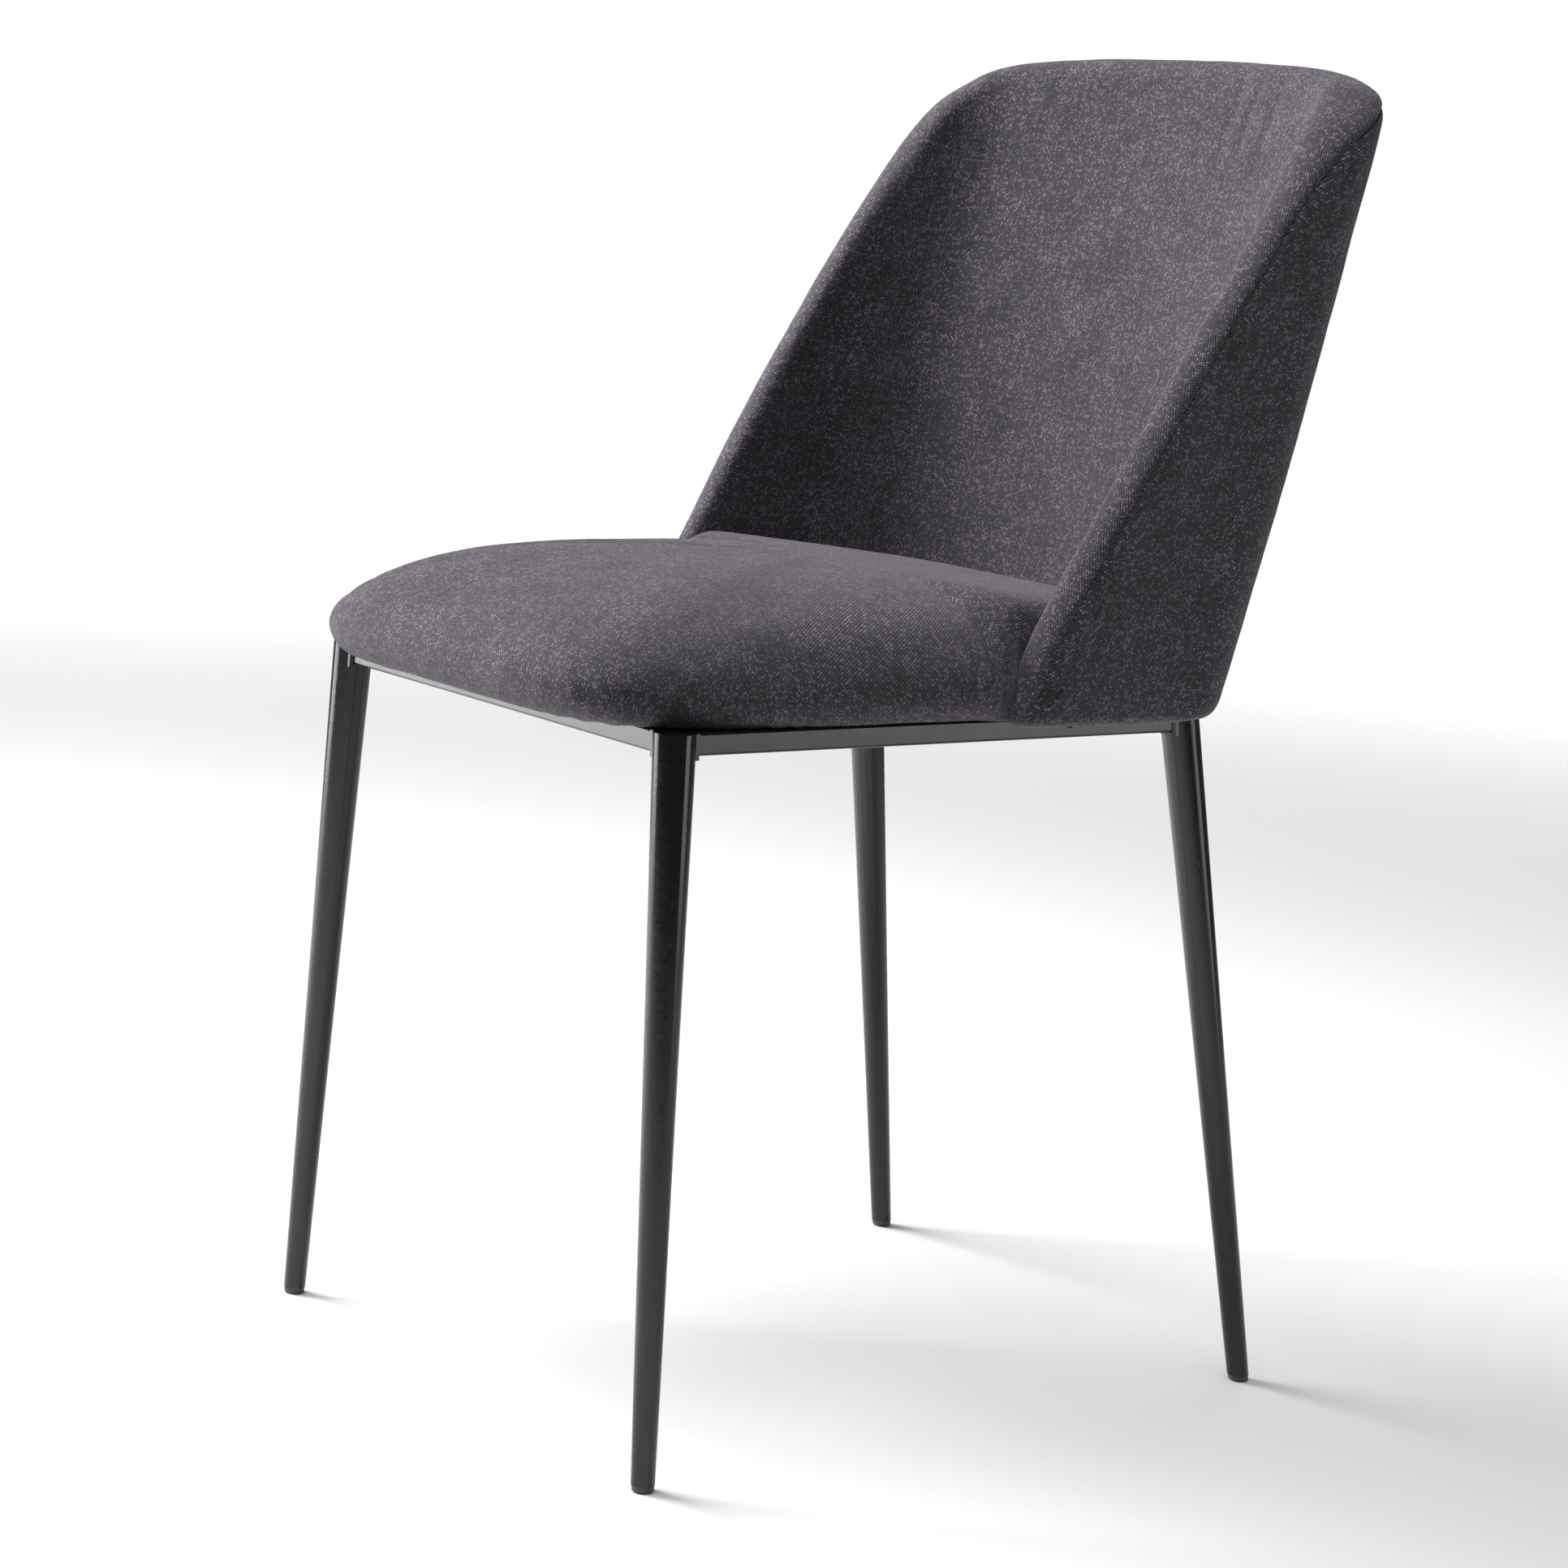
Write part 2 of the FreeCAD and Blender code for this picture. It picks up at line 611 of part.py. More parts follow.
def side_outline(name, foot, drop, ahead):
    """The back seen from the side: foot raised, top lowered and front edge moved back."""
    body = new_body(name)
    outline = new_sketch(body, "YZ_Plane")
    bottom = frame_top + foot
    top = back_top - drop
    foot_y = ahead - size("wing_foot")
    bend_y = ahead + size("wing_bend")
    bend_z = frame_top + size("wing_bend_height")
    radius = size("wing_top_radius")
    far = trim_reach
    lean = math.radians(size("wing_angle").value)
    middle_z = top.value - radius.value
    turn_z = middle_z + radius.value * math.sin(lean)
    turn_y = bend_y.value + (turn_z - bend_z.value) * math.tan(lean)
    middle_y = turn_y + radius.value * math.cos(lean)
    places = [(far, bottom), (foot_y, bottom), (bend_y, bend_z)]
    corners = [FreeCAD.Vector(y.value, z.value, 0) for y, z in places]
    turn = FreeCAD.Vector(turn_y, turn_z, 0)
    crest = FreeCAD.Vector(middle_y, top.value, 0)
    end = FreeCAD.Vector(far.value, top.value, 0)
    base = outline.addGeometry(Part.LineSegment(corners[0], corners[1]))
    lower = outline.addGeometry(Part.LineSegment(corners[1], corners[2]))
    wing = outline.addGeometry(Part.LineSegment(corners[2], turn))
    shoulder = outline.addGeometry(arc(middle_y, middle_z, radius.value, 90, 180 - math.degrees(lean)))
    level = outline.addGeometry(Part.LineSegment(crest, end))
    rear = outline.addGeometry(Part.LineSegment(end, corners[0]))
    outline.addConstraint([
        Sketcher.Constraint("Coincident", base, 2, lower, 1),
        Sketcher.Constraint("Coincident", lower, 2, wing, 1),
        Sketcher.Constraint("Tangent", wing, 2, shoulder, 2),
        Sketcher.Constraint("Tangent", shoulder, 1, level, 1),
        Sketcher.Constraint("Coincident", level, 2, rear, 1),
        Sketcher.Constraint("Coincident", rear, 2, base, 1),
        Sketcher.Constraint("Horizontal", level),
        Sketcher.Constraint("Vertical", rear),
    ])
    point_at(outline, base, 1, far, bottom)
    point_at(outline, base, 2, foot_y, bottom)
    point_at(outline, lower, 2, bend_y, bend_z)
    hold(outline, radius, "Radius", shoulder)
    hold(outline, top, "DistanceY", -1, 1, level, 1)
    slope = outline.addConstraint(Sketcher.Constraint("Angle", wing, math.pi / 2 - lean))
    bind(outline, f"Constraints[{slope}]", Size("(90 - Sizes.wing_angle) * 1 deg", 0))
    pad(body, outline, trim_reach * 2, both_ways=True)
    return body


def back_layer(name, outer, inner, edge, ahead):
    """The wall between two arches, trimmed from the front and the side."""
    wall = cut(name + "_wall", outer, inner)
    front = front_outline(name + "_front", edge)
    side = side_outline(name + "_side", edge, edge, ahead)
    return common(name, wall, front, side)


outer_foam_inset = cloth
core_outer_inset = outer_foam_inset + size("outer_foam")
core_inner_inset = core_outer_inset + size("core_thickness")

# Moving the slanted front edge back by this share of an inset moves it inwards by the inset.
slant_share = 1 / math.cos(math.radians(size("wing_angle").value))

core_face = outer_arch("core_face", core_outer_inset)
envelope = back_layer("back_envelope", outer_arch("outer_face", ZERO), inner_arch("inner_face", ZERO),
                      ZERO, ZERO)
filling = back_layer("back_filling", outer_arch("foam_face", outer_foam_inset),
                     inner_arch("padding_face", cloth), cloth, cloth * slant_share)
core_block = back_layer("core_block", core_face, outer_arch("core_back", core_inner_inset),
                        size("core_edge"), size("core_edge") * slant_share)

# ---------------------------------------------------------------- brackets between frame and back

flange_bottom_level = frame_top - size("bracket_thickness")
flange_top_level = frame_top + size("bracket_height")
core_side_x = size("back_half_width") - core_inner_inset
bracket_y = size("side_bracket_place")
rail_share = (bracket_y - front_y) / side_length
rail_x = front_x + (rear_x - front_x) * rail_share

side_bracket = new_body("side_bracket")
profile = new_sketch(side_bracket, "XZ_Plane", -bracket_y)
upright_x = core_side_x - size("bracket_thickness")
draw_polygon(profile, [
    (rail_x, flange_bottom_level), (core_side_x, flange_bottom_level), (core_side_x, flange_top_level),
    (upright_x, flange_top_level), (upright_x, frame_top), (rail_x, frame_top)])
pad(side_bracket, profile, size("side_bracket_length"), both_ways=True)


def core_back_y(level):
    """The core's front face in the middle plane, at a level."""
    return size("back_rear") - core_inner_inset + rake_slope * (level - frame_top)


lean_cosine = math.cos(math.radians(size("back_rake").value))
upright_depth = size("bracket_thickness") / lean_cosine
rear_bracket = new_body("rear_bracket")
profile = new_sketch(rear_bracket, "YZ_Plane")
back_low = core_back_y(flange_bottom_level) - size("bracket_gap")
back_bend = core_back_y(frame_top) - size("bracket_gap") - upright_depth
back_high = core_back_y(flange_top_level) - size("bracket_gap")
draw_polygon(profile, [
    (rear_y, flange_bottom_level), (back_low, flange_bottom_level), (back_high, flange_top_level),
    (back_high - upright_depth, flange_top_level), (back_bend, frame_top), (rear_y, frame_top)])
pad(rear_bracket, profile, size("rear_bracket_length"), both_ways=True)


def screw(name, x, y, z, axis, angle):
    """A pan head screw: its head seats at the place, turned from upright about the axis."""
    body = discs(name, ZERO, ZERO, [
        (size("screw_diameter") / 2, -size("screw_length"), ZERO),
        (size("screw_head_diameter") / 2, ZERO, size("screw_head_height"))])
    body.Placement.Rotation = FreeCAD.Rotation(axis, angle.value)
    bind(body, "Placement.Base.x", x)
    bind(body, "Placement.Base.y", y)
    bind(body, "Placement.Base.z", z)
    bind(body, "Placement.Rotation.Angle", Size(f"({angle.text} * 1 deg)", angle.value))
    return body


screw_z = frame_top + size("screw_height")
rear_seat_y = core_back_y(screw_z) - size("bracket_gap") - upright_depth
left_screws = []
rear_screws = []
for index, side in enumerate((-0.5, 0.5)):
    side_y = bracket_y + size("screw_spacing") * side
    left_screws.append(screw(f"side_screw_{index}", upright_x, side_y, screw_z,
                             FreeCAD.Vector(0, -1, 0), Size("90", 90)))
    rear_x_place = size("rear_screw_spacing") * side
    rear_screws.append(screw(f"rear_screw_{index}", rear_x_place, rear_seat_y, screw_z,
                             FreeCAD.Vector(1, 0, 0), -size("back_rake") + 90))
right_screws = [mirrored(item.Name + "_right", item) for item in left_screws]
screws = node("back_screws", group("back_screws", *left_screws, *right_screws, *rear_screws))

left_bracket = cut("left_bracket", side_bracket, *rail_blocks, group("left_screws", *left_screws))
node("back_bracket_left", left_bracket)
node("back_bracket_right", mirrored("right_bracket", left_bracket))
rear_screw_tools = group("rear_screws", *rear_screws)
middle_bracket = cut("middle_bracket", rear_bracket, *rail_blocks, rear_screw_tools)
node("back_bracket_rear", middle_bracket)

# ---------------------------------------------------------------- layers of the back

fixings = [side_bracket, mirrored("side_bracket_right", side_bracket), rear_bracket, screws]
node("back_core", cut("back_core", core_block, screws))
node("back_outer_foam", cut("back_outer_foam", filling, core_face))
padding = common("padding", filling, core_face)
node("back_inner_foam", cut("back_inner_foam", padding, core_block, *fixings))

seam_ahead = size("seam_inset") * slant_share
seam_side = side_outline("seam_side", -cloth, size("seam_drop"), seam_ahead)
rear_zone = cut("rear_zone", seam_side, core_face)
skin = cut("skin", envelope, filling)
node("back_rear_cover", common("back_rear_cover", skin, rear_zone))
node("back_front_cover", cut("back_front_cover", skin, rear_zone, *fixings))

# ---------------------------------------------------------------- seat

seat_half = size("inner_half_width") - size("seat_clearance")


def seat_block(name, inset, bottom, top, upper=None, lower=None):
    """A slab with the seat's outline moved inwards, and its upper and lower edges rounded."""
    body = new_body(name)
    outline = new_sketch(body, "XY_Plane", bottom)
    outline.AttachmentOffset = FreeCAD.Placement(
        FreeCAD.Vector(0, 0, bottom.value), FreeCAD.Rotation(FreeCAD.Vector(0, 0, 1), 180))
    draw_arch(outline, seat_half - inset, size("seat_front") - inset,
              size("seat_front_bow") - inset, size("seat_corner") - inset, -size("seat_front"))
    pad(body, outline, top - bottom)
    if upper is not None:
        soften(body, upper, lambda edge: edge.BoundBox.ZMin > top.value - 0.01, "_upper")
    if lower is not None:
        soften(body, lower, lambda edge: edge.BoundBox.ZMax < bottom.value + 0.01, "_lower")
    inside = inner_arch(name + "_cavity", -size("seat_clearance") - inset)
    return common(name + "_block", body, inside)


seat_top = frame_top + size("seat_rise")
seat_envelope = seat_block("seat_envelope", ZERO, frame_top, seat_top,
                           size("seat_crown"), size("seat_tuck"))
seat_filling = seat_block("seat_filling", cloth, board_bottom, seat_top - cloth,
                          size("seat_crown") - cloth, size("seat_tuck") - cloth)
board_block = seat_block("board", size("board_inset"), board_bottom, board_top)
opening = seat_block("hem_opening", size("board_inset") + size("hem_width"),
                     frame_top - overrun, board_bottom)
dust_block = seat_block("dust", size("board_inset") + size("hem_width") + size("dust_clearance"),
                        board_bottom - size("dust_cloth"), board_bottom)

bolt_holes = group("bolt_holes", *dust_holes)
node("seat_board", cut("seat_board", board_block, group("board_holes", *board_holes)))
node("seat_foam", cut("seat_foam", seat_filling, board_block))
node("seat_cover", cut("seat_cover", seat_envelope, seat_filling, opening, bolt_holes))
node("seat_dust_cover", cut("seat_dust_cover", dust_block, bolt_holes))

# ---------------------------------------------------------------- checks and files

doc.recompute()
for item in doc.Objects:
    if "Invalid" in item.State or "Error" in item.State:
        raise RuntimeError(f"{item.Label} failed: {item.State}")
for item in nodes:
    if item.Shape.isNull() or not item.Shape.isValid() or not item.Shape.Solids:
        raise RuntimeError(f"{item.Label} has no valid solid")

os.makedirs("parts", exist_ok=True)
for item in nodes:
    item.Shape.exportStep(f"parts/{item.Label}.step")
    print(f"{item.Label}: {len(item.Shape.Solids)} solids, {item.Shape.Volume / 1000:.2f} cm3")
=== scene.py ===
# %% [markdown]
# A dining chair: a soft seat and a wrapped, padded back on a welded frame of black painted steel.
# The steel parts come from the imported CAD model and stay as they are. The fabric is modelled here,
# inside the space that its CAD solids hold. All lengths are metres in the CAD's own frame: the
# origin is on the floor, -Y is the front and +X is the sitter's left.

# %% Load the CAD frame
import math

import bmesh
import bpy
import numpy as np
from mathutils import Matrix, Vector, noise


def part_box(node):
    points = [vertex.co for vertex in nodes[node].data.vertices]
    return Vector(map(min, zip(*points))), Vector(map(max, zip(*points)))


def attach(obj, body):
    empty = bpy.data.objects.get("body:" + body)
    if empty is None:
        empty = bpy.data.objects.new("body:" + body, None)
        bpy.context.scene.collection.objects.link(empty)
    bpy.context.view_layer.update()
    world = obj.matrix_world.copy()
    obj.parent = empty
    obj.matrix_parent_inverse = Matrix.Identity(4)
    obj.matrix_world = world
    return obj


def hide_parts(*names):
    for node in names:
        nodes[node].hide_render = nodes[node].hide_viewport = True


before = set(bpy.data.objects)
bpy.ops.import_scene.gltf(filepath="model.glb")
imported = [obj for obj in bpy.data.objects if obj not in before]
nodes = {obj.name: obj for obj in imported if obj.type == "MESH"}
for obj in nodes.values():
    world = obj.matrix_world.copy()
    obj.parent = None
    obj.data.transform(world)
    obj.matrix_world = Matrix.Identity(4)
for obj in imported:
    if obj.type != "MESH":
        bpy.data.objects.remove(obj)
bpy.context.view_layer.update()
RAIL_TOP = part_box("front_rail")[1].z
MM = 0.001


# %% [markdown]
# The camera stands to the sitter's left, in front, a little above the top of the back, with a long
# lens. A long lens keeps the legs nearly parallel, as a studio photographer would have them.

# %% Camera
camera_data = bpy.data.cameras.new("studio_camera")
camera_data.lens = 89.48
camera_data.sensor_width = 36.0
camera = bpy.data.objects.new("studio_camera", camera_data)
bpy.context.scene.collection.objects.link(camera)
CAMERA_TURN, CAMERA_DROP, CAMERA_ROLL = 0.93984, 0.160156, 0.0708688
camera.matrix_world = (
    Matrix.Translation((1.9518, -1.4548, 0.7551))
    @ Matrix.Rotation(CAMERA_TURN, 4, "Z")
    @ Matrix.Rotation(math.pi / 2 - CAMERA_DROP, 4, "X")
    @ Matrix.Rotation(CAMERA_ROLL, 4, "Z")
)
bpy.context.scene.camera = camera
print("camera at", [round(value, 3) for value in camera.location])


# %% [markdown]
# Materials. Each one starts from what the real one is and how its surface was made. One small
# function adds a node with its settings and links, and every pattern is sized in millimetres.

# %% Material helpers
def new_material(name, **sockets):
    """A Principled material, with constants set on the shader's own sockets."""
    material = bpy.data.materials.new(name)
    material.use_nodes = True
    shader = material.node_tree.nodes["Principled BSDF"]
    for socket, value in sockets.items():
        shader.inputs[socket.replace("_", " ")].default_value = value
    return material, shader


def add_node(material, kind, links=None, **settings):
    """Adds a node: settings are its properties or its sockets' values, links its inputs."""
    node = material.node_tree.nodes.new(kind)
    for key, value in settings.items():
        if hasattr(node, key):
            setattr(node, key, value)
        else:
            node.inputs[key.replace("_", " ")].default_value = value
    for socket, source in (links or {}).items():
        material.node_tree.links.new(source, node.inputs[socket])
    return node


def link_to(material, shader, socket, source):
    material.node_tree.links.new(source, shader.inputs[socket])


def dress(piece, material):
    """The material in every slot of a piece."""
    if not piece.material_slots:
        piece.data.materials.append(material)
    for slot in piece.material_slots:
        slot.material = material


# %% [markdown]
# The floor is a plain pale plane, lit until it is nearly white. The light is one large soft box
# overhead, which makes the seat's top the brightest cloth, with weaker light from the front and the
# sides. The gloss paint shows these boxes as pale bands on the rails and narrow lines on the legs.

# %% Helpers that the whole file uses
def deselect_all():
    """An operator acts on all that is selected, so each step starts with nothing selected."""
    if bpy.context.object and bpy.context.object.mode != "OBJECT":
        bpy.ops.object.mode_set(mode="OBJECT")
    bpy.ops.object.select_all(action="DESELECT")


def make_active(piece):
    deselect_all()
    piece.select_set(True)
    bpy.context.view_layer.objects.active = piece


def linear(hex_colour):
    """An sRGB hex colour as the linear RGBA that the nodes work in."""
    parts = [int(hex_colour[i:i + 2], 16) / 255 for i in (1, 3, 5)]
    return [c / 12.92 if c <= 0.04045 else ((c + 0.055) / 1.055) ** 2.4 for c in parts] + [1.0]


# %% Floor
deselect_all()
bpy.ops.mesh.primitive_plane_add(size=60.0, location=(0, 0, 0))
floor = bpy.context.object
floor.name = "studio_floor"


# %% Lights
def soft_box(name, place, aim, size, watts, colour="#ffffff"):
    """An area light at a place, turned towards a point of the chair."""
    data = bpy.data.lights.new(name, "AREA")
    data.shape = "RECTANGLE"
    data.size, data.size_y = size
    data.energy = watts
    data.color = linear(colour)[:3]
    light = bpy.data.objects.new(name, data)
    light.location = place
    light.rotation_euler = (Vector(aim) - Vector(place)).to_track_quat("-Z", "Y").to_euler()
    bpy.context.scene.collection.objects.link(light)
    return light


soft_box("overhead_box", (-0.2, -0.4, 2.6), (0.0, -0.1, 0.5), (2.4, 2.0), 62.0)
soft_box("key_box", (-1.7, -1.2, 1.9), (0.0, -0.1, 0.5), (1.4, 1.0), 85.0)
soft_box("front_strip", (-1.7, -1.6, 0.35), (0.0, -0.1, 0.40), (1.3, 0.7), 16.0)
soft_box("side_strip", (1.9, 1.7, 0.35), (0.1, 0.0, 0.40), (1.2, 0.7), 6.0)
world = bpy.data.worlds.new("studio_world")
world.use_nodes = True
dim = world.node_tree.nodes["Background"]
dim.inputs["Color"].default_value = linear("#ffffff")
dim.inputs["Strength"].default_value = 0.12
paper = add_node(world, "ShaderNodeBackground", Strength=1.0)
paper.inputs["Color"].default_value = linear("#ffffff")
seen = add_node(world, "ShaderNodeLightPath").outputs["Is Camera Ray"]
both = add_node(world, "ShaderNodeMixShader", {"Fac": seen, 1: dim.outputs[0], 2: paper.outputs[0]})
world.node_tree.links.new(both.outputs[0], world.node_tree.nodes["World Output"].inputs["Surface"])
bpy.context.scene.world = world
bpy.context.scene.view_settings.view_transform = "Standard"


# %% [markdown]
# The frame's finish is gloss black powder coat: sprayed as powder and baked, so it flows out
# smooth, with a slight orange peel of a few millimetres. The peel shows only in the reflections.

# %% Gloss black powder coat
black_coat, shader = new_material("gloss_black_powder_coat", Roughness=0.16, IOR=1.5)
place = add_node(black_coat, "ShaderNodeTexCoord").outputs["Object"]
PEEL_WIDTH = 3.0 * MM
peel = add_node(black_coat, "ShaderNodeTexNoise", {"Vector": place}, Scale=1 / PEEL_WIDTH, Detail=2.0)
dust_marks = add_node(black_coat, "ShaderNodeTexNoise", {"Vector": place}, Scale=60.0, Detail=4.0)
tint = add_node(black_coat, "ShaderNodeValToRGB", {"Fac": dust_marks.outputs["Fac"]})
tint.color_ramp.elements[0].color = linear("#040405")
tint.color_ramp.elements[1].color = linear("#0d0d0f")
link_to(black_coat, shader, "Base Color", tint.outputs["Color"])
dull = add_node(black_coat, "ShaderNodeMapRange", {"Value": dust_marks.outputs["Fac"]},
                To_Min=0.10, To_Max=0.24)
link_to(black_coat, shader, "Roughness", dull.outputs["Result"])
bump = add_node(black_coat, "ShaderNodeBump", {"Height": peel.outputs["Fac"]},
                Strength=0.12, Distance=0.05 * MM)
link_to(black_coat, shader, "Normal", bump.outputs["Normal"])


# %% [markdown]
# The foot glides are moulded polypropylene: dark grey, with the fine grain of a spark-eroded mould,
# so they look dull and a little paler than the paint above them.

# %% Moulded plastic of the glides
glide_plastic, shader = new_material("moulded_grey_polypropylene", Roughness=0.55, IOR=1.49)
place = add_node(glide_plastic, "ShaderNodeTexCoord").outputs["Object"]
grain = add_node(glide_plastic, "ShaderNodeTexNoise", {"Vector": place}, Scale=1 / (0.8 * MM), Detail=3.0)
tint = add_node(glide_plastic, "ShaderNodeValToRGB", {"Fac": grain.outputs["Fac"]})
tint.color_ramp.elements[0].color = linear("#37383b")
tint.color_ramp.elements[1].color = linear("#4c4d50")
link_to(glide_plastic, shader, "Base Color", tint.outputs["Color"])
bump = add_node(glide_plastic, "ShaderNodeBump", {"Height": grain.outputs["Fac"]},
                Strength=0.3, Distance=0.1 * MM)
link_to(glide_plastic, shader, "Normal", bump.outputs["Normal"])


# %% [markdown]
# Bolts, washers, T-nuts and screws are zinc plated steel: a bright, slightly cloudy metal with
# patches of a few millimetres where the plating crystals differ.

# %% Zinc plated steel
zinc, shader = new_material("zinc_plated_steel", Metallic=1.0, Roughness=0.35)
place = add_node(zinc, "ShaderNodeTexCoord").outputs["Object"]
cloud = add_node(zinc, "ShaderNodeTexNoise", {"Vector": place}, Scale=1 / (2.5 * MM), Detail=4.0)
tint = add_node(zinc, "ShaderNodeValToRGB", {"Fac": cloud.outputs["Fac"]})
tint.color_ramp.elements[0].color = linear("#a9abac")
tint.color_ramp.elements[1].color = linear("#cfd1d2")
link_to(zinc, shader, "Base Color", tint.outputs["Color"])
dull = add_node(zinc, "ShaderNodeMapRange", {"Value": cloud.outputs["Fac"]}, To_Min=0.25, To_Max=0.5)
link_to(zinc, shader, "Roughness", dull.outputs["Result"])


# %% [markdown]
# The seat board and the bent core of the back are birch plywood, sanded and left bare: pale, with
# long grain streaks about a millimetre wide.

# %% Birch plywood
birch, shader = new_material("sanded_birch_plywood", Roughness=0.6, IOR=1.5)
place = add_node(birch, "ShaderNodeTexCoord").outputs["Object"]
stretch = add_node(birch, "ShaderNodeMapping", {"Vector": place}, Scale=(900.0, 25.0, 900.0))
streak = add_node(birch, "ShaderNodeTexNoise", {"Vector": stretch.outputs["Vector"]}, Scale=1.0, Detail=5.0)
tint = add_node(birch, "ShaderNodeValToRGB", {"Fac": streak.outputs["Fac"]})
tint.color_ramp.elements[0].color = linear("#b08d62")
tint.color_ramp.elements[1].color = linear("#d9bd93")
link_to(birch, shader, "Base Color", tint.outputs["Color"])
bump = add_node(birch, "ShaderNodeBump", {"Height": streak.outputs["Fac"]}, Strength=0.2, Distance=0.1 * MM)
link_to(birch, shader, "Normal", bump.outputs["Normal"])


# %% [markdown]
# The cover is a woven polyester upholstery fabric. Dark grey warp and weft threads cross in a
# twill, so their raised crossings stand in slanting rows, and fibres of a paler, slightly mauve
# grey are spun in, so some crossings look light. The thread's colour also holds painted light: the
# raised crossings are coloured lighter as a painted highlight, and the hollows between them darker
# as painted shade. Each thread also runs a little thick and thin, which leaves faint lines along
# and across the cloth. The pattern follows the piece's own UV map, which is in metres of cloth, so
# the rows bend where the cloth is pulled round a corner.

# %% Woven upholstery fabric
THREAD = 2.1 * MM           # the real spacing is about 1.2 mm, drawn coarser so that it shows
SLUB = 26.0 * MM


